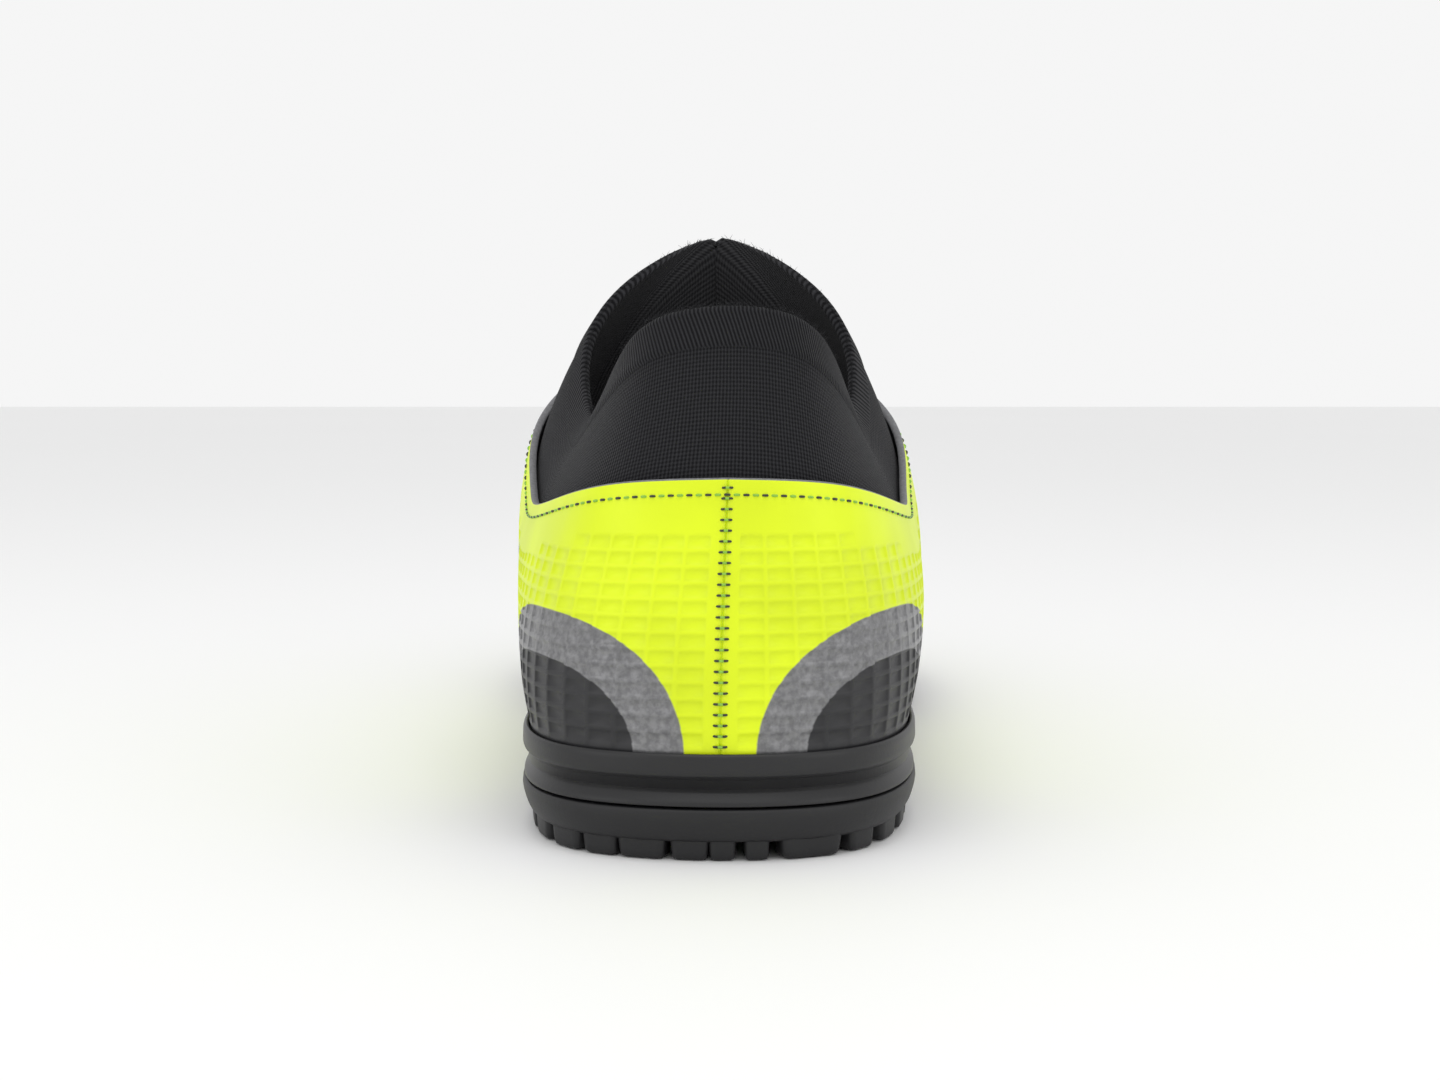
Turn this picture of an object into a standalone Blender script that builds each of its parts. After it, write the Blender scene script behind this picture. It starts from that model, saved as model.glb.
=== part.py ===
"""A right football shoe for artificial turf, standing empty on its studded sole.

Metres, +Z up. The toe points along +Y and the outer (lateral) side of the foot along +X.
The origin is on the ground, in the middle of the heel stud that carries the mount heel_rest.
"""
import math

import bmesh
import bpy
import numpy as np
from mathutils import Matrix, Vector
from mathutils.bvhtree import BVHTree

MM = 0.001

# Overall sizes of the sole
SHOE_LENGTH = 290 * MM
HEEL_WIDTH = 76 * MM
WAIST_WIDTH = 76 * MM
BALL_WIDTH = 103 * MM
SOLE_HEIGHT = 19 * MM
STUD_HEIGHT = 3.2 * MM
PARTING_HEIGHT = 9.4 * MM
ARCH_RISE = 2.4 * MM
TOE_SPRING = 10 * MM

# Heights of the foot form above the ground
HEEL_TAB_HEIGHT = 97 * MM
ANKLE_DIP_HEIGHT = 79 * MM
TONGUE_HEIGHT = 115 * MM
INSTEP_HEIGHT = 73 * MM
TOE_BOX_HEIGHT = 47 * MM

# Openings and overlaps
COLLAR_WIDTH = 60 * MM
TOPLINE_HEIGHT = 67 * MM
THROAT_WIDTH = 27 * MM
SOCK_LAP = 13 * MM
CUP_DEPTH = 6 * MM

# Walls, gaps and small pieces
UPPER_WALL = 1.6 * MM
SOCK_WALL = 1.9 * MM
CUFF_STEP = 0.5 * MM
CUFF_WIDTH = 6 * MM
LIP_WALL = 1.0 * MM
INSOLE_THICKNESS = 4 * MM
GAP = 0.3 * MM
SOCK_GAP = 0.6 * MM
LACE_GAP = 0.6 * MM
LACE_WIDTH = 6 * MM
LACE_THICKNESS = 1.3 * MM
EYELET_RADIUS = 2.0 * MM
EYELET_PAIRS = 5
EYELET_INSET = 7 * MM

# Each row is a section plane of the foot form, from the middle of the heel to the tip of the toe.
# width: the named width that the sole edge follows; lateral, medial: its two sides as shares of it
# along, along_m: how far forward the sole edge is on each side, as shares of the length
# top, top_m: half widths of the section's top, as shares of the collar width; top_along: its place
# height: the named height that the top follows, with its share in level
# swell, rise: how far the wall leans out and climbs as it leaves the sole, in shares of the sole height
# spread, drop: the same for the wall below the section's top
SECTION_COLUMNS = (
    "width", "lateral", "medial", "along", "along_m", "top", "top_m", "top_along",
    "height", "level", "swell", "rise", "spread", "drop",
)
SECTIONS = (
    (HEEL_WIDTH, 0.000, 0.000, 0.000, 0.000, 0.035, 0.035, 0.021, HEEL_TAB_HEIGHT, 1.000, 0.18, 1.45, -0.10, 1.40),
    (HEEL_WIDTH, 0.320, -0.340, 0.024, 0.026, 0.285, -0.235, 0.032, HEEL_TAB_HEIGHT, 0.972, 0.20, 1.40, 0.00, 1.35),
    (HEEL_WIDTH, 0.473, -0.485, 0.096, 0.096, 0.400, -0.360, 0.085, HEEL_TAB_HEIGHT, 0.900, 0.30, 1.20, 0.32, 1.15),
    (HEEL_WIDTH, 0.510, -0.503, 0.183, 0.183, 0.465, -0.440, 0.162, ANKLE_DIP_HEIGHT, 1.000, 0.40, 1.05, 0.70, 1.00),
    (HEEL_WIDTH, 0.512, -0.495, 0.269, 0.269, 0.490, -0.490, 0.228, ANKLE_DIP_HEIGHT, 1.012, 0.52, 1.10, 0.82, 0.95),
    (WAIST_WIDTH, 0.518, -0.490, 0.355, 0.355, 0.450, -0.465, 0.290, TONGUE_HEIGHT, 0.870, 0.58, 1.15, 1.06, 1.60),
    (WAIST_WIDTH, 0.555, -0.510, 0.441, 0.445, -0.014, -0.014, 0.328, TONGUE_HEIGHT, 1.000, 0.60, 1.15, 1.90, 1.30),
    (BALL_WIDTH, 0.460, -0.420, 0.524, 0.531, -0.014, -0.014, 0.386, INSTEP_HEIGHT, 1.205, 0.55, 1.05, 1.90, 0.60),
    (BALL_WIDTH, 0.501, -0.461, 0.614, 0.621, -0.020, -0.020, 0.483, INSTEP_HEIGHT, 1.000, 0.44, 0.95, 1.80, 0.22),
    (BALL_WIDTH, 0.505, -0.485, 0.710, 0.717, -0.030, -0.030, 0.586, INSTEP_HEIGHT, 0.850, 0.38, 0.90, 1.65, 0.14),
    (BALL_WIDTH, 0.460, -0.465, 0.807, 0.814, -0.045, -0.045, 0.690, TOE_BOX_HEIGHT, 1.150, 0.30, 0.85, 1.45, 0.14),
    (BALL_WIDTH, 0.352, -0.381, 0.897, 0.903, -0.060, -0.060, 0.765, TOE_BOX_HEIGHT, 1.065, 0.22, 0.80, 1.30, 0.18),
    (BALL_WIDTH, 0.178, -0.233, 0.967, 0.969, -0.068, -0.068, 0.812, TOE_BOX_HEIGHT, 1.015, 0.16, 0.78, 1.20, 0.20),
    (BALL_WIDTH, -0.040, -0.040, 1.000, 1.000, -0.071, -0.071, 0.831, TOE_BOX_HEIGHT, 1.000, 0.14, 0.78, 1.18, 0.20),
)
# The collar stands less open on its lateral side
LATERAL_SPREAD = 0.85
TONGUE_TOP_ROW = 6
LAST_ROW = len(SECTIONS) - 1

# Height of the upper's top line at each section up to the throat, as a share of its height at the heel
TOPLINE = (1.000, 0.985, 0.935, 0.890, 0.930, 1.120, 1.330, 1.600)
THROAT_END_ROW = 9.0
THROAT_ROUND_ROWS = 0.55
SOCK_END_ROW = 9.9

# Side of the sole from its top edge down: height as a share of the sole's, and how far it is cut in
LIP_PROFILE = ((0.985, 0.0), (0.810, -0.1 * MM), (0.690, 1.8 * MM), (0.600, 1.0 * MM))
MIDSOLE_FOOT_INSET = 0.2 * MM
OUTSOLE_PROFILE = ((1.00, 0.1 * MM), (0.75, -0.1 * MM), (0.40, 0.4 * MM), (0.0, 1.8 * MM))
STUD_INSET = 0.1 * MM

# Studs along the rim of the heel: place along the edge and width, as shares of the heel width
HEEL_RIM_STUDS = (
    (0.005, 0.060), (0.090, 0.056), (0.232, 0.145), (0.395, 0.085), (0.540, 0.100), (0.690, 0.100),
    (0.840, 0.100), (-0.075, 0.086), (-0.195, 0.110), (-0.310, 0.088), (-0.430, 0.100),
    (-0.570, 0.100), (-0.710, 0.100), (-0.850, 0.100),
)

HEEL_ORIGIN = 30 * MM


def spline(knots, values, at, period=None):
    """A cubic spline through values at the knots, closed if it has a period, read at each place in at."""
    knots = np.asarray(knots, float)
    values = np.asarray(values, float)
    at = np.atleast_1d(np.asarray(at, float))
    if period:
        laps = 3
        knots = np.concatenate([knots[-laps:] - period, knots, knots[:laps] + period])
        values = np.concatenate([values[-laps:], values, values[:laps]])
    count = len(knots)
    step = np.diff(knots)
    matrix = np.zeros((count, count))
    right = np.zeros(count)
    matrix[0, 0] = matrix[-1, -1] = 1
    for i in range(1, count - 1):
        matrix[i, i - 1 : i + 2] = step[i - 1], 2 * (step[i - 1] + step[i]), step[i]
        right[i] = 3 * ((values[i + 1] - values[i]) / step[i] - (values[i] - values[i - 1]) / step[i - 1])
    bend = np.linalg.solve(matrix, right)
    i = np.clip(np.searchsorted(knots, at, side="right") - 1, 0, count - 2)
    x = at - knots[i]
    slope = (values[i + 1] - values[i]) / step[i] - step[i] * (2 * bend[i] + bend[i + 1]) / 3
    return values[i] + slope * x + bend[i] * x**2 + (bend[i + 1] - bend[i]) / (3 * step[i]) * x**3


def column(name):
    """One column of the table of sections, as an array."""
    return np.array([row[SECTION_COLUMNS.index(name)] for row in SECTIONS], float)


def closed_ring(lateral, medial):
    """Values of a closed ring from its lateral and medial ones, and the knots of its spline."""
    return np.concatenate([lateral, medial[-2:0:-1]]), np.arange(2 * LAST_ROW)


def ring_place(row, side):
    """Where a section row on one side lies along the closed ring of sections."""
    return row if side > 0 else (2 * LAST_ROW - row) % (2 * LAST_ROW)


def read_ring(lateral, medial, row, side):
    values, knots = closed_ring(lateral, medial)
    return spline(knots, values, ring_place(row, side), period=2 * LAST_ROW)[0]


WIDTH = column("width")
EDGE_X = (WIDTH * column("lateral"), WIDTH * column("medial"))
EDGE_Y = (SHOE_LENGTH * column("along"), SHOE_LENGTH * column("along_m"))
TOP_X = (COLLAR_WIDTH * column("top"), COLLAR_WIDTH * column("top_m"))
TOP_Y = SHOE_LENGTH * column("top_along")
TOP_Z = column("height") * column("level")
HANDLES = {name: [SOLE_HEIGHT * column(name)] * 2 for name in ("swell", "rise", "spread", "drop")}
HANDLES["spread"] = (HANDLES["spread"][0] * LATERAL_SPREAD, HANDLES["spread"][1])


def ground_rise(y):
    """How far the bottom of the sole stands off the ground: the arch and the toe spring."""
    share = y / SHOE_LENGTH
    arch = ARCH_RISE * math.exp(-(((share - 0.40) / 0.075) ** 2))
    toe = TOE_SPRING * max(0.0, (share - 0.745) / 0.255) ** 1.8
    return arch + toe


def sole_top(y):
    """Height of the sole's top edge."""
    return SOLE_HEIGHT + 0.5 * ground_rise(y) + 0.35 * max(0.0, ground_rise(y) - ARCH_RISE)


def edge_point(row, side, inset=0.0):
    """A point of the sole's outline in plan, moved in by inset, and the outline's outward direction there."""
    reach = 0.02
    place = ring_place(row, side)
    turn = np.array([place - reach, place, place + reach]) % (2 * LAST_ROW)
    xs, knots = closed_ring(*EDGE_X)
    ys, _ = closed_ring(*EDGE_Y)
    x = spline(knots, xs, turn, period=2 * LAST_ROW)
    y = spline(knots, ys, turn, period=2 * LAST_ROW)
    along = Vector((x[2] - x[0], y[2] - y[0])).normalized()
    out = Vector((along.y, -along.x))
    return Vector((x[1], y[1])) - out * inset, out


def top_point(row, side):
    """The upper end of a section: on the collar's edge behind the tongue's top, on the ridge ahead of it."""
    if row <= TONGUE_TOP_ROW:
        count = TONGUE_TOP_ROW + 1
        place = row if side > 0 else (2 * TONGUE_TOP_ROW - row) % (2 * TONGUE_TOP_ROW)
        knots = np.arange(2 * TONGUE_TOP_ROW)
        rings = (
            (TOP_X[0][:count], TOP_X[1][:count]),
            (TOP_Y[:count], TOP_Y[:count]),
            (TOP_Z[:count], TOP_Z[:count]),
        )
        found = [
            spline(knots, np.concatenate([a, b[-2:0:-1]]), place, period=2 * TONGUE_TOP_ROW)[0]
            for a, b in rings
        ]
        return Vector(found)
    knots = np.arange(TONGUE_TOP_ROW, LAST_ROW + 1)
    return Vector([spline(knots, v[TONGUE_TOP_ROW:], row)[0] for v in (TOP_X[0], TOP_Y, TOP_Z)])


class Section:
    """The curve of the foot form in one section plane, from the sole's edge at 0 to the form's top at 1."""

    def __init__(self, row, side):
        foot, out = edge_point(row, side, LIP_WALL + GAP)
        away = Vector((out.x, out.y, 0))
        swell, rise, spread, drop = (read_ring(*HANDLES[name], row, side) for name in HANDLES)
        start = Vector((foot.x, foot.y, sole_top(foot.y)))
        end = top_point(row, side)
        self.points = (
            start,
            start + away * swell + Vector((0, 0, rise)),
            end + away * spread - Vector((0, 0, drop)),
            end,
        )

    def at(self, share):
        """The point that far along the curve. Below 0 it goes straight down, into the sole's cup."""
        a, b, c, d = self.points
        if share < 0:
            return a + Vector((0, 0, share))
        rest = 1 - share
        return a * rest**3 + b * 3 * rest**2 * share + c * 3 * rest * share**2 + d * share**3

    def share_where(self, reached):
        """The share at which the curve first passes a test, found by halving."""
        low, high = 0.0, 1.0
        if not reached(self.at(high)):
            return high
        for _ in range(24):
            middle = (low + high) / 2
            low, high = (low, middle) if reached(self.at(middle)) else (middle, high)
        return high


def round_end(row, end, span):
    """1 along a slot and 0 at its end, with the end rounded over a span of section rows."""
    over = (row - (end - span)) / span
    return 0.0 if over >= 1 else 1.0 if over <= 0 else math.sqrt(1 - over * over)


def topline_share(section, row, lower=0.0, wider=0.0, end_row=THROAT_END_ROW):
    """Where the upper's edge crosses a section: its top line, then the edge of the throat."""
    if row >= end_row:
        return 1.0
    height = TOPLINE_HEIGHT * spline(np.arange(len(TOPLINE)), TOPLINE, min(row, len(TOPLINE) - 1))[0] - lower
    half = (THROAT_WIDTH / 2 + wider) * round_end(row, end_row, THROAT_ROUND_ROWS)
    middle = section.points[3].x if row >= TONGUE_TOP_ROW else TOP_X[0][TONGUE_TOP_ROW]
    by_height = section.share_where(lambda p: p.z >= height)
    if row < TONGUE_TOP_ROW - 1:
        return by_height
    return min(by_height, section.share_where(lambda p: abs(p.x - middle) <= half))


def rows_of(*stretches):
    """Section rows, from stretches of (first, last, count)."""
    found = np.concatenate([np.linspace(a, b, n, endpoint=False) for a, b, n in stretches])
    return [*found, float(stretches[-1][1])]


EDGE_ROWS = rows_of((0, 3, 10), (3, 5, 5), (5, 6, 3), (6, 8.5, 6), (8.5, 9, 5), (9, 10, 3), (10, LAST_ROW, 9))


def material(name, colour, roughness):
    made = bpy.data.materials.new(name)
    made.use_nodes = True
    shader = made.node_tree.nodes["Principled BSDF"]
    shader.inputs["Base Color"].default_value = (*colour, 1)
    shader.inputs["Roughness"].default_value = roughness
    shader.inputs["Metallic"].default_value = 0
    return made


def add_object(name, mesh, paint, group):
    """Links an object whose mesh is in the shoe's own measure, with the heel's origin moved to 0."""
    mesh.transform(Matrix.Translation((0, -HEEL_ORIGIN, 0)))
    made = bpy.data.objects.new(name, mesh)
    mesh.shade_smooth()
    mesh.set_sharp_from_angle(angle=math.radians(40))
    if paint:
        mesh.materials.append(paint)
    group.objects.link(made)
    return made


def mesh_of(bm, name):
    mesh = bpy.data.meshes.new(name)
    bm.to_mesh(mesh)
    bm.free()
    return mesh


def wall_surface(rows, low, high, steps, cuff=False):
    """An open surface of the foot form as a bmesh: low and high give each section's first and last share."""
    bm = bmesh.new()
    ring = [(row, 1) for row in rows] + [(row, -1) for row in rows[-2:0:-1]]
    if rows[-1] < LAST_ROW:
        ring = [(row, 1) for row in rows], [(row, -1) for row in rows]
    else:
        ring = (ring + ring[:1],)
    for stretch in ring:
        lines = []
        for row, side in stretch:
            section = Section(row, side)
            first, last = low(section, row), high(section, row)
            shares = [first + (last - first) * k for k in steps]
            if first < 0:
                shares = [first, *(last * k for k in steps)]
            lines.append([bm.verts.new(section.at(share)) for share in shares])
        for a, b in zip(lines, lines[1:]):
            for i in range(len(a) - 1):
                bm.faces.new((a[i], a[i + 1], b[i + 1], b[i]))
    bmesh.ops.remove_doubles(bm, verts=bm.verts, dist=1e-6)
    bmesh.ops.dissolve_degenerate(bm, dist=1e-6, edges=bm.edges)
    bmesh.ops.recalc_face_normals(bm, faces=bm.faces)
    middle = Vector((0, SHOE_LENGTH / 2, INSTEP_HEIGHT / 2))
    face = max(bm.faces, key=lambda f: f.calc_area())
    if face.normal.dot(face.calc_center_median() - middle) < 0:
        bmesh.ops.reverse_faces(bm, faces=bm.faces)
    bm.normal_update()
    return bm


def push_along_normals(bm, distance):
    """Moves each point of an open surface along its normal. distance is a number or a function of the point."""
    moved = [(v, v.normal.copy() * (distance(v) if callable(distance) else distance)) for v in bm.verts]
    for vert, step in moved:
        vert.co += step
    bm.normal_update()


def solidify(made, thickness):
    wall = made.modifiers.new("wall", "SOLIDIFY")
    wall.thickness = thickness
    wall.offset = -1
    wall.use_even_offset = False
    wall.use_quality_normals = True
    return wall


def build_upper(paint, group):
    """The coated shell: closed over the toe, open at the throat and the collar and down into the sole's cup."""
    bm = wall_surface(EDGE_ROWS, lambda s, r: -CUP_DEPTH, topline_share, np.linspace(0, 1, 8))
    upper = add_object("upper", mesh_of(bm, "upper"), paint, group)
    solidify(upper, UPPER_WALL)
    return upper


def build_sock(paint, group):
    """The knitted sock collar: heel tab, ankle dips and tongue in one, with a thicker knitted cuff."""
    rows = [row for row in EDGE_ROWS if row < THROAT_END_ROW] + rows_of((THROAT_END_ROW, SOCK_END_ROW, 4))

    def foot(section, row):
        return topline_share(section, row, lower=SOCK_LAP, wider=SOCK_LAP, end_row=SOCK_END_ROW)

    steps = (0, 0.18, 0.36, 0.53, 0.69, 0.82, 0.92, 1)
    bm = wall_surface(rows, foot, lambda s, r: 1.0, steps)
    push_along_normals(bm, -(UPPER_WALL + SOCK_GAP))
    sock = add_object("sock_collar", mesh_of(bm, "sock_collar"), paint, group)
    solidify(sock, SOCK_WALL)
    return sock


def ring_solid(name, rings, paint, group):
    """A solid through closed rings of points, the first and last of them closed by strips across the shoe."""
    bm = bmesh.new()
    verts = [[bm.verts.new(p) for p in ring] for ring in rings]
    count = len(verts[0])
    for a, b in zip(verts, verts[1:]):
        for i in range(count):
            j = (i + 1) % count
            bm.faces.new((a[i], a[j], b[j], b[i]))
    for ring in (verts[0], verts[-1]):
        for i in range(count // 2):
            corners = [ring[i], ring[i + 1], ring[(count - i - 1) % count], ring[(count - i) % count]]
            bm.faces.new(list(dict.fromkeys(corners)))
    bmesh.ops.recalc_face_normals(bm, faces=bm.faces)
    return add_object(name, mesh_of(bm, name), paint, group)


def sole_ring(rows, inset, height):
    """A closed ring around the sole, moved in by inset, at the height that a function gives."""
    ring = [(row, 1) for row in rows] + [(row, -1) for row in rows[-2:0:-1]]
    points = [edge_point(row, side, inset)[0] for row, side in ring]
    return [Vector((p.x, p.y, height(p.y))) for p in points]


def parting(y):
    """Height of the joint between midsole and outsole."""
    return PARTING_HEIGHT + ground_rise(y)


def side_height(share):
    """Height up the midsole's side, given as a share of the sole's height on the level stretch."""
    def height(y):
        low, level = parting(y), PARTING_HEIGHT / SOLE_HEIGHT
        return low + (sole_top(y) - low) * (share - level) / (1 - level)
    return height


def build_midsole(paint, group):
    """The foam midsole: a stepped side with a lip around the upper, and a cup that the insole lies in."""
    rings = [sole_ring(EDGE_ROWS, MIDSOLE_FOOT_INSET, lambda y: parting(y) + GAP / 2)]
    rings += [sole_ring(EDGE_ROWS, inset, side_height(share)) for share, inset in reversed(LIP_PROFILE)]
    rings += [
        sole_ring(EDGE_ROWS, LIP_WALL, lambda y: sole_top(y)),
        sole_ring(EDGE_ROWS, LIP_WALL, lambda y: sole_top(y) - CUP_DEPTH - GAP),
    ]
    return ring_solid("midsole", rings, paint, group)


def build_insole(paint, group):
    """The insole, lying in the cup inside the upper's wall."""
    edge = LIP_WALL + GAP + UPPER_WALL + GAP
    floor = lambda y: sole_top(y) - CUP_DEPTH
    rings = [
        sole_ring(EDGE_ROWS, edge, lambda y: floor(y)),
        sole_ring(EDGE_ROWS, edge, lambda y: floor(y) + INSOLE_THICKNESS * 0.85),
        sole_ring(EDGE_ROWS, edge + INSOLE_THICKNESS * 0.3, lambda y: floor(y) + INSOLE_THICKNESS),
    ]
    return ring_solid("insole", rings, paint, group)


def edge_place(distance):
    """Row and side of the point that lies a distance along the sole's edge from the middle of the heel."""
    side = 1 if distance >= 0 else -1
    row, gone = 0.0, 0.0
    last = edge_point(0, side)[0]
    while gone < abs(distance):
        row += 0.02
        here = edge_point(row, side)[0]
        gone += (here - last).length
        last = here
    return row, side


def add_stud(bm, centre, out, width, depth):
    """One stud: a block that narrows towards the ground, from inside the outsole plate down to the ground."""
    foot = ground_rise(centre.y)
    height = STUD_HEIGHT + 1.4 * MM
    made = bmesh.ops.create_cone(
        bm, cap_ends=True, segments=4, radius1=math.sqrt(0.5), radius2=math.sqrt(0.5) * 1.14, depth=1
    )
    turn = math.atan2(out.y, out.x)
    place = (
        Matrix.Translation((centre.x, centre.y, foot + height / 2))
        @ Matrix.Rotation(turn, 4, "Z")
        @ Matrix.Diagonal((depth, width, height, 1))
        @ Matrix.Rotation(math.radians(45), 4, "Z")
    )
    bmesh.ops.transform(bm, matrix=place, verts=made["verts"])


def add_round_stud(bm, centre, radius):
    """One round stud with a narrower foot."""
    foot = ground_rise(centre.y)
    height = STUD_HEIGHT + 1.4 * MM
    made = bmesh.ops.create_cone(bm, cap_ends=True, segments=6, radius1=radius, radius2=radius * 1.2, depth=height)
    place = Matrix.Translation((centre.x, centre.y, foot + height / 2))
    bmesh.ops.transform(bm, matrix=place, verts=made["verts"])


def sole_half_width(y, side, inset):
    """How far the sole reaches to one side at a place along the shoe."""
    low, high = 0.0, float(LAST_ROW)
    for _ in range(20):
        middle = (low + high) / 2
        low, high = (middle, high) if edge_point(middle, side)[0].y < y else (low, middle)
    return abs(edge_point(high, side, inset)[0].x)


def build_outsole(paint, group, cutters):
    """The rubber outsole: a plate with a rounded side, rim studs and rows of round studs."""
    base = lambda share: lambda y: (
        STUD_HEIGHT + ground_rise(y) + (parting(y) - GAP / 2 - STUD_HEIGHT - ground_rise(y)) * share
    )
    rings = [sole_ring(EDGE_ROWS, inset, base(share)) for share, inset in reversed(OUTSOLE_PROFILE)]
    outsole = ring_solid("outsole", rings, paint, group)

    studs = bmesh.new()
    rim_inset = OUTSOLE_PROFILE[-1][1] + STUD_INSET
    rim_depth = 5 * MM
    for place, width in HEEL_RIM_STUDS:
        row, side = edge_place(place * HEEL_WIDTH)
        centre, out = edge_point(row, side, rim_inset + rim_depth / 2)
        add_stud(studs, centre, out, width * HEEL_WIDTH, rim_depth)
    rim_pitch = 10.5 * MM
    rim_start = 0.50 * SHOE_LENGTH
    for side in (1, -1):
        distance = rim_start + (0.02 * SHOE_LENGTH if side < 0 else 0)
        while True:
            row, _ = edge_place(side * distance)
            if row > LAST_ROW - 0.15:
                break
            centre, out = edge_point(row, side, rim_inset + rim_depth / 2)
            add_stud(studs, centre, out, 7 * MM, rim_depth)
            distance += rim_pitch
    round_radius = 2.9 * MM
    pitch_y, pitch_x = 14 * MM, 14 * MM
    first = HEEL_ORIGIN - pitch_y * 1
    y = first
    line = 0
    while y < SHOE_LENGTH - 18 * MM:
        in_waist = 0.27 * SHOE_LENGTH < y < 0.50 * SHOE_LENGTH
        if not in_waist:
            shift = 0 if (line % 2) == 1 else pitch_x / 2
            for side in (1, -1):
                reach = sole_half_width(y, side, rim_inset + rim_depth + round_radius + 1.6 * MM)
                x = shift
                while x <= reach:
                    if x > 0 or side > 0:
                        add_round_stud(studs, Vector((side * x, y)), round_radius)
                    x += pitch_x
        y += pitch_y
        line += 1
    tool = add_object("studs_form", mesh_of(studs, "studs_form"), None, cutters)
    tool.hide_render = True
    tool.display_type = "WIRE"
    join = outsole.modifiers.new("studs", "BOOLEAN")
    join.operation = "UNION"
    join.use_self = True
    join.object = tool
    return outsole


def surface_tree(*pieces):
    """The present surfaces of some pieces, in the shoe's own measure, for finding what lies under a point."""
    bpy.context.view_layer.update()
    now = bpy.context.evaluated_depsgraph_get()
    points, faces = [], []
    for piece in pieces:
        mesh = piece.evaluated_get(now).to_mesh()
        start = len(points)
        points += [v.co + Vector((0, HEEL_ORIGIN, 0)) for v in mesh.vertices]
        faces += [[start + i for i in face.vertices] for face in mesh.polygons]
    return BVHTree.FromPolygons(points, faces)


def surface_under(tree, x, y):
    point, normal, _, _ = tree.ray_cast(Vector((x, y, 1)), Vector((0, 0, -1)))
    return point, normal if normal.z > 0 else -normal


def surface_height(tree, place):
    return surface_under(tree, place.x, place.y)[0].z


def eyelet_places():
    """Plan positions of the eyelets, pair by pair from the toe end of the throat upwards."""
    low_y, high_y = 0.568 * SHOE_LENGTH, 0.372 * SHOE_LENGTH
    low_half = THROAT_WIDTH / 2 + EYELET_INSET
    middle = TOP_X[0][TONGUE_TOP_ROW]
    found = []
    for i in range(EYELET_PAIRS):
        share = i / (EYELET_PAIRS - 1)
        y = low_y + (high_y - low_y) * share
        half = low_half * (0.93 + 0.07 * share)
        found.append([Vector((middle + side * half, y)) for side in (1, -1)])
    return found


def cut_eyelets(upper, tree, cutters):
    holes = bmesh.new()
    for pair in eyelet_places():
        for place in pair:
            point, normal = surface_under(tree, place.x, place.y)
            turn = Vector((0, 0, 1)).rotation_difference(normal).to_matrix().to_4x4()
            made = bmesh.ops.create_cone(
                holes, cap_ends=True, segments=8, radius1=EYELET_RADIUS, radius2=EYELET_RADIUS, depth=UPPER_WALL * 5
            )
            bmesh.ops.transform(holes, matrix=Matrix.Translation(point) @ turn, verts=made["verts"])
    tool = add_object("eyelets_form", mesh_of(holes, "eyelets_form"), None, cutters)
    tool.hide_render = True
    tool.display_type = "WIRE"
    cut = upper.modifiers.new("eyelets", "BOOLEAN")
    cut.operation = "DIFFERENCE"
    cut.object = tool


def taut_line(places, heights):
    """Heights of a line drawn tight over a profile: its upper hull, read again at the same places."""
    hull = []
    for point in zip(places, heights):
        while len(hull) > 1:
            (x0, z0), (x1, z1) = hull[-2:]
            if (x1 - x0) * (point[1] - z0) < (z1 - z0) * (point[0] - x0):
                break
            hull.pop()
        hull.append(point)
    return np.interp(places, [x for x, _ in hull], [z for _, z in hull])


def lace_bar(tree, start, end, lift):
    """One flat bar of lace drawn tight over the throat between two eyelets. lift raises its middle."""
    count = 24
    along = (end - start).normalized()
    across = Vector((-along.y, along.x)) * LACE_WIDTH / 2
    shares = np.linspace(0, 1, count + 1)
    places = shares * (end - start).length
    lines = []
    for side in (1, 0, -1):
        heights = [surface_height(tree, start.lerp(end, share) + across * side) for share in shares]
        lines.append(taut_line(places, heights))
    left, middle, right = lines
    bm = bmesh.new()
    sections = []
    for i in (0, 2, 4, 7, 12, 17, 20, 22, 24):
        flat = start.lerp(end, shares[i])
        over = max(0.0, middle[i] - (left[i] + right[i]) / 2) + lift * math.sin(math.pi * shares[i])
        low = over + LACE_GAP
        high = low + LACE_THICKNESS
        a, b = flat + across, flat - across
        corners = ((*a, left[i] + low), (*a, left[i] + high), (*b, right[i] + high), (*b, right[i] + low))
        sections.append([bm.verts.new(corner) for corner in corners])
    for a, b in zip(sections, sections[1:]):
        for i in range(len(a)):
            j = (i + 1) % len(a)
            bm.faces.new((a[i], a[j], b[j], b[i]))
    bm.faces.new(sections[0])
    bm.faces.new(sections[-1][::-1])
    bmesh.ops.recalc_face_normals(bm, faces=bm.faces)
    return mesh_of(bm, "lace_bar")


def build_laces(tree, paint, group, cutters):
    """The lace: one bar at the toe end, then crossing bars up to the top eyelets, all joined."""
    pairs = eyelet_places()
    bars = [(pairs[0][0], pairs[0][1], 0.0)]
    for below, above in zip(pairs, pairs[1:]):
        bars.append((below[0], above[1], 0.0))
        bars.append((below[1], above[0], LACE_THICKNESS * 0.7))
    laces = None
    for i, (start, end, lift) in enumerate(bars):
        reach = (end - start).normalized() * LACE_WIDTH * 0.35
        mesh = lace_bar(tree, start - reach, end + reach, lift)
        if laces is None:
            laces = add_object("laces", mesh, paint, group)
            continue
        bar = add_object(f"lace_bar_{i}", mesh, None, cutters)
        bar.hide_render = True
        bar.display_type = "WIRE"
        join = laces.modifiers.new(f"bar_{i}", "BOOLEAN")
        join.operation = "UNION"
        join.object = bar
    return laces


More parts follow.
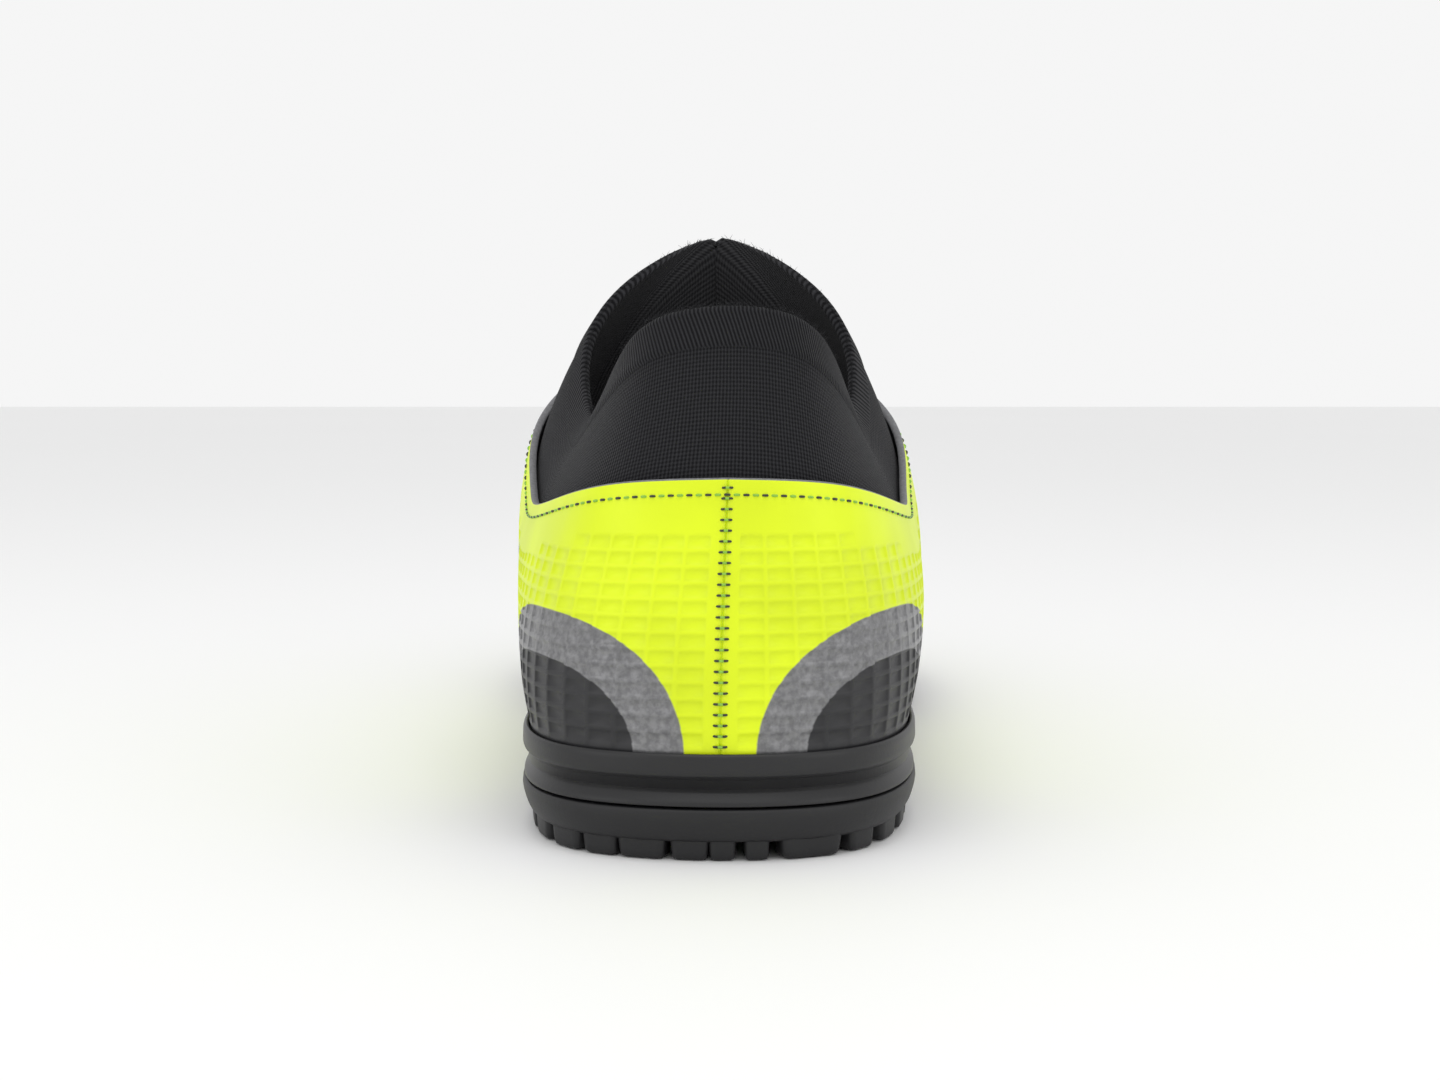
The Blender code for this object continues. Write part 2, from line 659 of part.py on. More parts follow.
def main():
    for made in list(bpy.data.objects):
        bpy.data.objects.remove(made)
    group = bpy.data.collections.new("turf_football_shoe")
    cutters = bpy.data.collections.new("cutters")
    bpy.context.scene.collection.children.link(group)
    bpy.context.scene.collection.children.link(cutters)

    coated_yellow = material("coated_yellow", (0.72, 0.90, 0.0), 0.45)
    knit_black = material("knit_black", (0.012, 0.012, 0.013), 0.85)
    foam_black = material("foam_black", (0.014, 0.014, 0.015), 0.60)
    rubber_black = material("rubber_black", (0.010, 0.010, 0.011), 0.55)
    insole_black = material("insole_black", (0.02, 0.02, 0.022), 0.90)
    lace_black = material("lace_black", (0.015, 0.015, 0.016), 0.80)

    upper = build_upper(coated_yellow, group)
    sock = build_sock(knit_black, group)
    tree = surface_tree(upper, sock)
    cut_eyelets(upper, tree, cutters)
    build_midsole(foam_black, group)
    build_outsole(rubber_black, group, cutters)
    build_insole(insole_black, group)
    build_laces(tree, lace_black, group, cutters)


main()
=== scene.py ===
import math

import bmesh
import bpy
import numpy as np
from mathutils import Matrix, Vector
from mathutils.bvhtree import BVHTree


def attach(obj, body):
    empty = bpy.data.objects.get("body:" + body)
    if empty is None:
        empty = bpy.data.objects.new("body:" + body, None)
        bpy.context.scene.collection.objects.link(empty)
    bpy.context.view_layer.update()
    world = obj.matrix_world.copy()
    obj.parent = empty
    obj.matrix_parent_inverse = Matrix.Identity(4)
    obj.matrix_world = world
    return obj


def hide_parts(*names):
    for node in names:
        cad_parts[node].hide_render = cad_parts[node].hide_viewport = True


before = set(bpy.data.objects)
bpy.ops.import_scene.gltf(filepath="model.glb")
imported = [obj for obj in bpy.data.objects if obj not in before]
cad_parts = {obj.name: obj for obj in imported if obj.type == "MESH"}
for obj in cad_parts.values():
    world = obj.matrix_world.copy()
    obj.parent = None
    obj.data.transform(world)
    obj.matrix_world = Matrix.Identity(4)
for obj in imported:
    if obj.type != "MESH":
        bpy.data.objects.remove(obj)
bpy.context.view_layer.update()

# The last. A shoe is drawn over a foot form, the last, and every piece here is laid on the same one.
# The form is a ring of section curves that climb from the sole's edge to the collar or the ridge of
# the instep. The sections are those of the solid model, and are read here at a much finer pitch.
MM = 0.001
SHOE_LENGTH = 290 * MM
HEEL_WIDTH = 76 * MM
WAIST_WIDTH = 76 * MM
BALL_WIDTH = 103 * MM
SOLE_HEIGHT = 19 * MM
ARCH_RISE = 2.4 * MM
TOE_SPRING = 10 * MM
HEEL_TAB_HEIGHT = 97 * MM
ANKLE_DIP_HEIGHT = 79 * MM
TONGUE_HEIGHT = 115 * MM
INSTEP_HEIGHT = 73 * MM
TOE_BOX_HEIGHT = 47 * MM
COLLAR_WIDTH = 60 * MM
LATERAL_SPREAD = 0.85
HEEL_ORIGIN = 30 * MM

SECTION_COLUMNS = (
    "width", "lateral", "medial", "along", "along_m", "top", "top_m", "top_along",
    "height", "level", "swell", "rise", "spread", "drop",
)
SECTIONS = (
    (HEEL_WIDTH, 0.000, 0.000, 0.000, 0.000, 0.035, 0.035, 0.021,
     HEEL_TAB_HEIGHT, 1.000, 0.18, 1.45, -0.10, 1.40),
    (HEEL_WIDTH, 0.320, -0.340, 0.024, 0.026, 0.285, -0.235, 0.032,
     HEEL_TAB_HEIGHT, 0.972, 0.20, 1.40, 0.00, 1.35),
    (HEEL_WIDTH, 0.473, -0.485, 0.096, 0.096, 0.400, -0.360, 0.085,
     HEEL_TAB_HEIGHT, 0.900, 0.30, 1.20, 0.32, 1.15),
    (HEEL_WIDTH, 0.510, -0.503, 0.183, 0.183, 0.465, -0.440, 0.162,
     ANKLE_DIP_HEIGHT, 1.000, 0.40, 1.05, 0.70, 1.00),
    (HEEL_WIDTH, 0.512, -0.495, 0.269, 0.269, 0.490, -0.490, 0.228,
     ANKLE_DIP_HEIGHT, 1.012, 0.52, 1.10, 0.82, 0.95),
    (WAIST_WIDTH, 0.518, -0.490, 0.355, 0.355, 0.450, -0.465, 0.290,
     TONGUE_HEIGHT, 0.870, 0.58, 1.15, 1.06, 1.60),
    (WAIST_WIDTH, 0.555, -0.510, 0.441, 0.445, -0.014, -0.014, 0.328,
     TONGUE_HEIGHT, 1.000, 0.60, 1.15, 1.90, 1.30),
    (BALL_WIDTH, 0.460, -0.420, 0.524, 0.531, -0.014, -0.014, 0.386,
     INSTEP_HEIGHT, 1.205, 0.55, 1.05, 1.90, 0.60),
    (BALL_WIDTH, 0.501, -0.461, 0.614, 0.621, -0.020, -0.020, 0.483,
     INSTEP_HEIGHT, 1.000, 0.44, 0.95, 1.80, 0.22),
    (BALL_WIDTH, 0.505, -0.485, 0.710, 0.717, -0.030, -0.030, 0.586,
     INSTEP_HEIGHT, 0.850, 0.38, 0.90, 1.65, 0.14),
    (BALL_WIDTH, 0.460, -0.465, 0.807, 0.814, -0.045, -0.045, 0.690,
     TOE_BOX_HEIGHT, 1.150, 0.30, 0.85, 1.45, 0.14),
    (BALL_WIDTH, 0.352, -0.381, 0.897, 0.903, -0.060, -0.060, 0.765,
     TOE_BOX_HEIGHT, 1.065, 0.22, 0.80, 1.30, 0.18),
    (BALL_WIDTH, 0.178, -0.233, 0.967, 0.969, -0.068, -0.068, 0.812,
     TOE_BOX_HEIGHT, 1.015, 0.16, 0.78, 1.20, 0.20),
    (BALL_WIDTH, -0.040, -0.040, 1.000, 1.000, -0.071, -0.071, 0.831,
     TOE_BOX_HEIGHT, 1.000, 0.14, 0.78, 1.18, 0.20),
)
TONGUE_TOP_ROW = 6
LAST_ROW = len(SECTIONS) - 1
RING = 2 * LAST_ROW
LIP_WALL = 1.0 * MM
PIECE_GAP = 0.3 * MM


def spline(knots, values, at, period=None):
    """A cubic spline through values at the knots, closed if it has a period, read at each place in at."""
    knots = np.asarray(knots, float)
    values = np.asarray(values, float)
    at = np.atleast_1d(np.asarray(at, float))
    if period:
        laps = 3
        knots = np.concatenate([knots[-laps:] - period, knots, knots[:laps] + period])
        values = np.concatenate([values[-laps:], values, values[:laps]])
    count = len(knots)
    step = np.diff(knots)
    matrix = np.zeros((count, count))
    right = np.zeros(count)
    matrix[0, 0] = matrix[-1, -1] = 1
    for i in range(1, count - 1):
        matrix[i, i - 1 : i + 2] = step[i - 1], 2 * (step[i - 1] + step[i]), step[i]
        right[i] = 3 * ((values[i + 1] - values[i]) / step[i] - (values[i] - values[i - 1]) / step[i - 1])
    bend = np.linalg.solve(matrix, right)
    i = np.clip(np.searchsorted(knots, at, side="right") - 1, 0, count - 2)
    x = at - knots[i]
    slope = (values[i + 1] - values[i]) / step[i] - step[i] * (2 * bend[i] + bend[i + 1]) / 3
    return values[i] + slope * x + bend[i] * x**2 + (bend[i + 1] - bend[i]) / (3 * step[i]) * x**3


def section_column(name):
    return np.array([row[SECTION_COLUMNS.index(name)] for row in SECTIONS], float)


def around(lateral, medial, places):
    """Reads a value that the sections give on each side at places around the closed ring."""
    ring = np.concatenate([lateral, medial[-2:0:-1]])
    return spline(np.arange(RING), ring, np.asarray(places) % RING, period=RING)


def ground_rise(y):
    share = np.asarray(y) / SHOE_LENGTH
    arch = ARCH_RISE * np.exp(-(((share - 0.40) / 0.075) ** 2))
    return arch + TOE_SPRING * np.maximum(0, (share - 0.745) / 0.255) ** 1.8


def sole_top(y):
    return SOLE_HEIGHT + 0.5 * ground_rise(y) + 0.35 * np.maximum(0, ground_rise(y) - ARCH_RISE)


def sole_edge(places, inset=0.0):
    """Points of the sole's outline in plan, moved in by inset, and its outward directions."""
    width = section_column("width")
    edge_x = (width * section_column("lateral"), width * section_column("medial"))
    edge_y = (SHOE_LENGTH * section_column("along"), SHOE_LENGTH * section_column("along_m"))
    reach = 0.02
    x = [around(*edge_x, places + k) for k in (-reach, 0, reach)]
    y = [around(*edge_y, places + k) for k in (-reach, 0, reach)]
    out = np.stack([y[2] - y[0], -(x[2] - x[0])], axis=-1)
    out /= np.linalg.norm(out, axis=-1, keepdims=True)
    return np.stack([x[1], y[1]], axis=-1) - out * inset, out


def form_tops(places):
    """Upper ends of the sections: the collar's edge behind the tongue's top, the ridge ahead of it."""
    row = np.where(places > LAST_ROW, RING - places, places)
    collar_place = np.where(places > LAST_ROW, 2 * TONGUE_TOP_ROW - row, row) % (2 * TONGUE_TOP_ROW)
    lateral = COLLAR_WIDTH * section_column("top")
    medial = COLLAR_WIDTH * section_column("top_m")
    along = SHOE_LENGTH * section_column("top_along")
    high = section_column("height") * section_column("level")
    found = []
    for a, b in ((lateral, medial), (along, along), (high, high)):
        last = TONGUE_TOP_ROW + 1
        ring = np.concatenate([a[:last], b[:last][-2:0:-1]])
        collar = spline(np.arange(2 * TONGUE_TOP_ROW), ring, collar_place, period=2 * TONGUE_TOP_ROW)
        ridge = spline(np.arange(TONGUE_TOP_ROW, LAST_ROW + 1), a[TONGUE_TOP_ROW:], row)
        found.append(np.where(row <= TONGUE_TOP_ROW, collar, ridge))
    return np.stack(found, axis=-1)


def section_curves(places):
    """The four control points of the section curve at each place around the shoe."""
    foot, out = sole_edge(places, LIP_WALL + PIECE_GAP)
    away = np.concatenate([out, np.zeros((len(places), 1))], axis=-1)
    up = np.array([0, 0, 1.0])
    hold = {name: SOLE_HEIGHT * section_column(name) for name in ("swell", "rise", "spread", "drop")}
    swell, rise, drop = (around(hold[n], hold[n], places)[:, None] for n in ("swell", "rise", "drop"))
    spread = around(hold["spread"] * LATERAL_SPREAD, hold["spread"], places)[:, None]
    start = np.concatenate([foot, sole_top(foot[:, 1])[:, None]], axis=-1)
    end = form_tops(places)
    return start, start + away * swell + up * rise, end + away * spread - up * drop, end


def on_curves(curves, shares):
    """Points on the section curves: shares has one row of shares for each curve."""
    a, b, c, d = (point[:, None, :] for point in curves)
    t = np.asarray(shares)[..., None]
    return a * (1 - t) ** 3 + b * 3 * (1 - t) ** 2 * t + c * 3 * (1 - t) * t**2 + d * t**3


# The upper's edge. The yellow shell is cut to a low line around the ankle, which rises to the two
# eyestay corners, and is slit along the instep as far as the vamp. The cut is found on each section.
TOPLINE_HEIGHT = 67 * MM
TOPLINE = (1.000, 0.985, 0.935, 0.890, 0.930, 1.120, 1.330, 1.600)
THROAT_WIDTH = 27 * MM
THROAT_END_ROW = 9.0
THROAT_ROUND_ROWS = 0.55
FINE_SHARES = np.linspace(0, 1, 241)


def cut_shares(places, curves, lower=0.0, wider=0.0, end_row=THROAT_END_ROW):
    """The share of each section at which the shell's edge crosses it."""
    row = np.where(places > LAST_ROW, RING - places, places)
    level = spline(np.arange(len(TOPLINE)), TOPLINE, np.minimum(row, len(TOPLINE) - 1))
    height = TOPLINE_HEIGHT * level - lower
    over = np.clip((row - (end_row - THROAT_ROUND_ROWS)) / THROAT_ROUND_ROWS, 0, 1)
    half = (THROAT_WIDTH / 2 + wider) * np.sqrt(1 - over**2)
    points = on_curves(curves, np.tile(FINE_SHARES, (len(places), 1)))
    tongue_middle = form_tops(np.array([float(TONGUE_TOP_ROW)]))[0, 0]
    ridge = np.where(row >= TONGUE_TOP_ROW, curves[3][:, 0], tongue_middle)
    found = np.ones(len(places))
    for i in range(len(places)):
        if row[i] >= end_row:
            continue
        by_height = first_share(points[i, :, 2] - height[i])
        by_width = first_share(half[i] - np.abs(points[i, :, 0] - ridge[i]))
        found[i] = by_height if row[i] < TONGUE_TOP_ROW - 1 else min(by_height, by_width)
    return found


def first_share(excess):
    """Where a value along a section first rises past zero, read between its samples."""
    past = np.nonzero(excess >= 0)[0]
    if not len(past) or past[0] == 0:
        return 0.0 if len(past) else 1.0
    i = past[0]
    part = -excess[i - 1] / (excess[i] - excess[i - 1])
    return float(FINE_SHARES[i - 1] + part * (FINE_SHARES[i] - FINE_SHARES[i - 1]))


# The coated shell. One sheet of neon yellow coated synthetic is closed at the back of the heel and
# embossed with rows of small sunk windows. The sheet is glued down into the sole's cup.
UPPER_WALL = 1.6 * MM
CUP_DEPTH = 6 * MM
WINDOW_PITCH = 5.7 * MM
WINDOW_WIDTH = 4.5 * MM
WINDOW_ROW_PITCH = 2.9 * MM
WINDOW_HEIGHT = 1.95 * MM
WINDOW_DEPTH = 0.28 * MM
WINDOW_EDGE = 0.13 * MM
WINDOW_ROWS = 15
FIRST_WINDOW = 3.3 * MM
FIRST_WINDOW_ROW = 1.4 * MM
WINDOWS_END = 150 * MM
VAMP_ROW = 7.4
EDGE_MARGIN = 5.2 * MM
SEAM_DEPTH = 0.45 * MM

fine_places = np.linspace(0, RING, 5201)
fine_edge = sole_edge(fine_places)[0]
fine_run = np.concatenate([[0], np.cumsum(np.linalg.norm(np.diff(fine_edge, axis=0), axis=1))])
GIRTH = fine_run[-1]
LATERAL_GIRTH = np.interp(LAST_ROW, fine_places, fine_run)


def places_at(run):
    """Ring places of distances along the sole's edge from the back seam, minus towards the medial side."""
    return np.interp(np.asarray(run) % GIRTH, fine_run, fine_places)


def shell_runs(vamp):
    """Distances of the shell's mesh lines on one side: five to each window, and closer at the seam."""
    runs = [0.14 * MM, 0.4 * MM, 1.0 * MM, 1.8 * MM, 2.6 * MM]
    start = FIRST_WINDOW
    while start < WINDOWS_END:
        middle = start + WINDOW_WIDTH / 2
        ends = (start - WINDOW_EDGE, start + WINDOW_EDGE)
        far = (start + WINDOW_WIDTH - WINDOW_EDGE, start + WINDOW_WIDTH + WINDOW_EDGE)
        runs += [*ends, middle, *far]
        start += WINDOW_PITCH
    return runs + list(np.linspace(start, vamp[0], 10)[:-1]) + list(vamp)


def height_steps():
    """Heights of the shell's mesh lines above the sole, four to each row of windows."""
    steps = [0.0]
    for k in range(WINDOW_ROWS):
        low = FIRST_WINDOW_ROW + k * WINDOW_ROW_PITCH
        steps += [low - WINDOW_EDGE, low + WINDOW_EDGE]
        steps += [low + WINDOW_HEIGHT - WINDOW_EDGE, low + WINDOW_HEIGHT + WINDOW_EDGE]
    return np.array(steps)


def grid_normals(points, closed=True):
    """Unit normals of a grid of points whose first index runs around the shoe."""
    if closed:
        ahead = np.roll(points, -1, axis=0) - np.roll(points, 1, axis=0)
    else:
        ahead = np.gradient(points, axis=0)
    climb = np.gradient(points, axis=1)
    normal = np.cross(ahead, climb)
    length = np.linalg.norm(normal, axis=-1, keepdims=True)
    return normal / np.maximum(length, 1e-12)


def read_heights(curves, tops, heights):
    """Points at distances up each section curve. heights has one row of distances for each curve."""
    shares = tops[:, None] * np.linspace(0, 1, 97)[None, :]
    fine = on_curves(curves, shares)
    length = np.concatenate(
        [np.zeros((len(tops), 1)), np.cumsum(np.linalg.norm(np.diff(fine, axis=1), axis=-1), axis=1)], axis=1
    )
    found = np.array([np.interp(h, run, share) for h, run, share in zip(heights, length, shares)])
    return on_curves(curves, found)


def curve_lengths(curves, tops):
    fine = on_curves(curves, tops[:, None] * np.linspace(0, 1, 97)[None, :])
    return np.linalg.norm(np.diff(fine, axis=1), axis=-1).sum(axis=1)


def mesh_piece(name, verts, faces, material_index=None, layers=None):
    """An object from points and faces. layers gives named values of each point, kept for its material."""
    mesh = bpy.data.meshes.new(name)
    mesh.from_pydata([tuple(v) for v in verts], [], [tuple(f) for f in faces])
    if material_index is not None:
        mesh.polygons.foreach_set("material_index", material_index)
    for layer, values in (layers or {}).items():
        made = mesh.attributes.new(layer, "FLOAT_VECTOR", "POINT")
        made.data.foreach_set("vector", np.asarray(values, float).ravel())
    mesh.validate()
    mesh.update()
    mesh.shade_smooth()
    piece = bpy.data.objects.new(name, mesh)
    bpy.context.scene.collection.objects.link(piece)
    return piece


def settle(piece, weld=False):
    """Turns the faces outwards, after joining points that meet where weld is set."""
    mesh = bmesh.new()
    mesh.from_mesh(piece.data)
    if weld:
        bmesh.ops.remove_doubles(mesh, verts=mesh.verts, dist=0.01 * MM)
    bmesh.ops.recalc_face_normals(mesh, faces=mesh.faces)
    mesh.to_mesh(piece.data)
    mesh.free()


vamp_run = np.linspace(np.interp(VAMP_ROW, fine_places, fine_run), LATERAL_GIRTH, 90)[:-1]
vamp_rows = places_at(vamp_run)
lateral_runs = shell_runs(vamp_run)
medial_runs = shell_runs(GIRTH - np.interp(RING - vamp_rows, fine_places, fine_run))
shell_run = np.array([0.0, *lateral_runs, LATERAL_GIRTH, *[GIRTH - run for run in medial_runs[::-1]]])
shell_places = places_at(shell_run)
side_run = np.where(shell_run <= LATERAL_GIRTH, shell_run, shell_run - GIRTH)
shell_curves = section_curves(shell_places)
shell_tops = cut_shares(shell_places, shell_curves)
shell_lengths = curve_lengths(shell_curves, shell_tops)

even_heights = height_steps()
level_count = len(even_heights)
MARGIN_STEPS = 14
LEAST_STEP = 0.05 * MM
squeeze = 0.3 * MM * np.arange(level_count - 1, -1, -1)
heights = np.minimum(even_heights[None, :], shell_lengths[:, None] - EDGE_MARGIN - squeeze[None, :])
heights = np.maximum(heights, LEAST_STEP * np.arange(level_count)[None, :])
margin = np.linspace(0, 1, MARGIN_STEPS + 1)[1:]
heights = np.concatenate(
    [heights, heights[:, -1:] + (shell_lengths[:, None] - heights[:, -1:]) * margin[None, :]], axis=1
)
shell_points = read_heights(shell_curves, shell_tops, heights)
shell_normals = grid_normals(shell_points)
closed_over = np.where(shell_places > LAST_ROW, RING - shell_places, shell_places) >= THROAT_END_ROW


def join_ridge(normals, closed, level):
    """Gives the two sides one shared direction where they meet along the ridge of the instep."""
    other = np.roll(normals[::-1], 1, axis=0)
    shared = normals[:, level] + other[:, level]
    shared /= np.linalg.norm(shared, axis=-1, keepdims=True)
    lean = np.maximum(0.6, (shared * normals[:, level]).sum(axis=-1, keepdims=True))
    normals[closed, level] = (shared / lean)[closed]


join_ridge(shell_normals, closed_over, -1)

sunk = np.zeros(heights.shape)
along_run = np.abs(side_run) - FIRST_WINDOW
in_pitch = np.mod(along_run, WINDOW_PITCH)
in_width = (in_pitch > 0) & (in_pitch < WINDOW_WIDTH)
window_column = (along_run > 0) & in_width & (np.abs(side_run) < WINDOWS_END)
up_wall = even_heights - FIRST_WINDOW_ROW
in_row = np.mod(up_wall, WINDOW_ROW_PITCH)
window_level = (up_wall > 0) & (in_row < WINDOW_HEIGHT)
row_top = FIRST_WINDOW_ROW + np.floor(up_wall / WINDOW_ROW_PITCH) * WINDOW_ROW_PITCH + WINDOW_HEIGHT
WINDOWS_FADE = 45 * MM
SEAM_HALF_WIDTH = 0.22 * MM
room_kept = EDGE_MARGIN + squeeze[0] * 0.12 + 1.6 * MM
for i in np.nonzero(window_column)[0]:
    fade = np.clip((WINDOWS_END - abs(side_run[i])) / WINDOWS_FADE, 0, 1)
    below_margin = row_top < shell_lengths[i] - room_kept
    sunk[i, :level_count] = np.where(window_level & below_margin, WINDOW_DEPTH * fade, 0)
seam = SEAM_DEPTH * np.exp(-((side_run / SEAM_HALF_WIDTH) ** 2))
outer = shell_points - shell_normals * (sunk + seam[:, None])[..., None]
EDGE_ROUND = 0.35 * MM
inner_rows = np.linspace(1, 0, 9)
inner = read_heights(shell_curves, shell_tops, shell_lengths[:, None] * inner_rows[None, :])
inner_normals = grid_normals(inner) * -1
join_ridge(inner_normals, closed_over, 0)
inner = inner - inner_normals * UPPER_WALL
top_normal = shell_normals[:, -1:, :]
climb = shell_points[:, -1:, :] - shell_points[:, -2:-1, :]
climb /= np.maximum(np.linalg.norm(climb, axis=-1, keepdims=True), 1e-9)
edge_top = shell_points[:, -1:, :] + climb * EDGE_ROUND
edge_rows = np.concatenate([edge_top - top_normal * k * UPPER_WALL for k in (0.18, 0.5, 0.82)], axis=1)
cup = shell_points[:, :1, :].copy()
cup[..., 2] -= CUP_DEPTH - 0.05 * MM
cup_inner = cup - grid_normals(shell_points)[:, :1, :] * [1, 1, 0] * UPPER_WALL
whole = np.concatenate([cup, outer, edge_rows, inner, cup_inner], axis=1)
count, rows = whole.shape[:2]
whole = whole - [0, HEEL_ORIGIN, 0]
outer_last = heights.shape[1]
faces, slots = [], []
for i in range(count):
    j = (i + 1) % count
    for k in range(rows - 1):
        in_edge = outer_last <= k < outer_last + 4
        if in_edge and closed_over[i] and closed_over[j]:
            continue
        a, b = i * rows + k, j * rows + k
        faces.append((a, b, b + 1, a + 1))
        slots.append(1 if in_edge else 2 if k >= outer_last + 4 else 0)
    faces.append((i * rows + rows - 1, j * rows + rows - 1, j * rows, i * rows))
    slots.append(2)
in_cup = np.full((count, 1), -CUP_DEPTH)
past_edge = np.repeat(shell_lengths[:, None], rows - outer_last - 1, axis=1)
all_heights = np.concatenate([in_cup, heights, past_edge], axis=1)
from_edge = shell_lengths[:, None] - all_heights
shell_layer = np.stack([np.repeat(side_run[:, None], rows, axis=1), all_heights, from_edge], axis=-1)
shell = mesh_piece(
    "coated_shell", whole.reshape(-1, 3), faces, slots, {"sheet_place": shell_layer.reshape(-1, 3)}
)
settle(shell, weld=True)


class Wire:
    """One output of a material's nodes. Sums on wires and numbers add the Math nodes that work them out."""

    def __init__(self, tree, socket):
        self.tree = tree
        self.socket = socket

    def math(self, operation, *others, clamp=False):
        settings = {"operation": operation, "use_clamp": clamp}
        return self.node("ShaderNodeMath", settings, {i: v for i, v in enumerate((self, *others))})

    def node(self, kind, settings=None, inputs=None, output=0):
        """Adds a node: its settings are set first, then the values or wires of its sockets."""
        made = self.tree.nodes.new(kind)
        for name, value in (settings or {}).items():
            setattr(made, name, value)
        for name, value in (inputs or {}).items():
            if isinstance(value, Wire):
                self.tree.links.new(value.socket, made.inputs[name])
            else:
                made.inputs[name].default_value = value
        return Wire(self.tree, made.outputs[output])

    def __add__(self, other):
        return self.math("ADD", other)

    def __sub__(self, other):
        return self.math("SUBTRACT", other)

    def __mul__(self, other):
        return self.math("MULTIPLY", other)

    def __truediv__(self, other):
        return self.math("DIVIDE", other)

    def __rsub__(self, other):
        return (self * -1).math("ADD", other)

    __radd__ = __add__
    __rmul__ = __mul__

    def absolute(self):
        return self.math("ABSOLUTE")

    def step(self, low, high):
        """A soft step from 0 below low to 1 above high."""
        inputs = {0: self, 1: low, 2: high, 3: 0.0, 4: 1.0}
        return self.node("ShaderNodeMapRange", {"interpolation_type": "SMOOTHSTEP"}, inputs)

    def mix(self, first, second):
        """Between two colours, with this wire as the share of the second."""
        first = (*first, 1) if isinstance(first, tuple) else first
        second = (*second, 1) if isinstance(second, tuple) else second
        return self.node("ShaderNodeMix", {"data_type": "RGBA"}, {0: self, 6: first, 7: second}, output=2)


class Finish:
    """A material with its shader and the wires that every finish starts from."""

    def __init__(self, name, roughness=0.5, **constants):
        self.material = bpy.data.materials.new(name)
        self.material.use_nodes = True
        self.tree = self.material.node_tree
        self.shader = self.tree.nodes["Principled BSDF"]
        self.shader.inputs["Roughness"].default_value = roughness
        for socket, value in constants.items():
            self.shader.inputs[socket.replace("_", " ")].default_value = value
        self.place = self.start("ShaderNodeTexCoord", "Object")

    def start(self, kind, output=0, **settings):
        made = self.tree.nodes.new(kind)
        for name, value in settings.items():
            setattr(made, name, value)
        return Wire(self.tree, made.outputs[output])

    def attribute(self, name):
        """The three values of a layer of the mesh."""
        vector = self.start("ShaderNodeAttribute", "Vector", attribute_name=name)
        split = self.tree.nodes.new("ShaderNodeSeparateXYZ")
        self.tree.links.new(vector.socket, split.inputs[0])
        return [Wire(self.tree, split.outputs[i]) for i in range(3)]

    def noise(self, scale, detail=3.0, rough=0.55):
        inputs = {"Vector": self.place, "Scale": scale, "Detail": detail, "Roughness": rough}
        return self.place.node("ShaderNodeTexNoise", None, inputs)

    def feed(self, socket, wire):
        self.tree.links.new(wire.socket, self.shader.inputs[socket])

    def relief(self, height, depth, strength=1.0):
        """Low relief from a height between 0 and 1, with its depth in metres."""
        inputs = {"Strength": strength, "Distance": depth, "Height": height}
        self.feed("Normal", self.place.node("ShaderNodeBump", None, inputs))


PRINT_MIDDLE = 43.0
PRINT_LOW = 2.0
PRINT_POWER = 2.3
FIELD_REACH, FIELD_RISE = 27.0, 17.5
SWEEP_REACH, SWEEP_RISE = 36.5, 26.0
STREAK_MIDDLE, STREAK_HALF_LENGTH, STREAK_HALF_WIDTH = 124.0, 26.0, 4.2
STREAK_LEVEL, STREAK_SLOPE, STREAK_DRIFT = 24.0, 0.16, 22.0


def printed_area(side, up, reach, rise):
    """Below 1 inside a rounded area low on each side of the heel. All are in millimetres."""
    across = ((side - PRINT_MIDDLE).absolute() / reach).math("POWER", PRINT_POWER)
    above = ((up + PRINT_LOW) / rise).absolute().math("POWER", PRINT_POWER)
    return (across + above).math("POWER", 1 / PRINT_POWER)


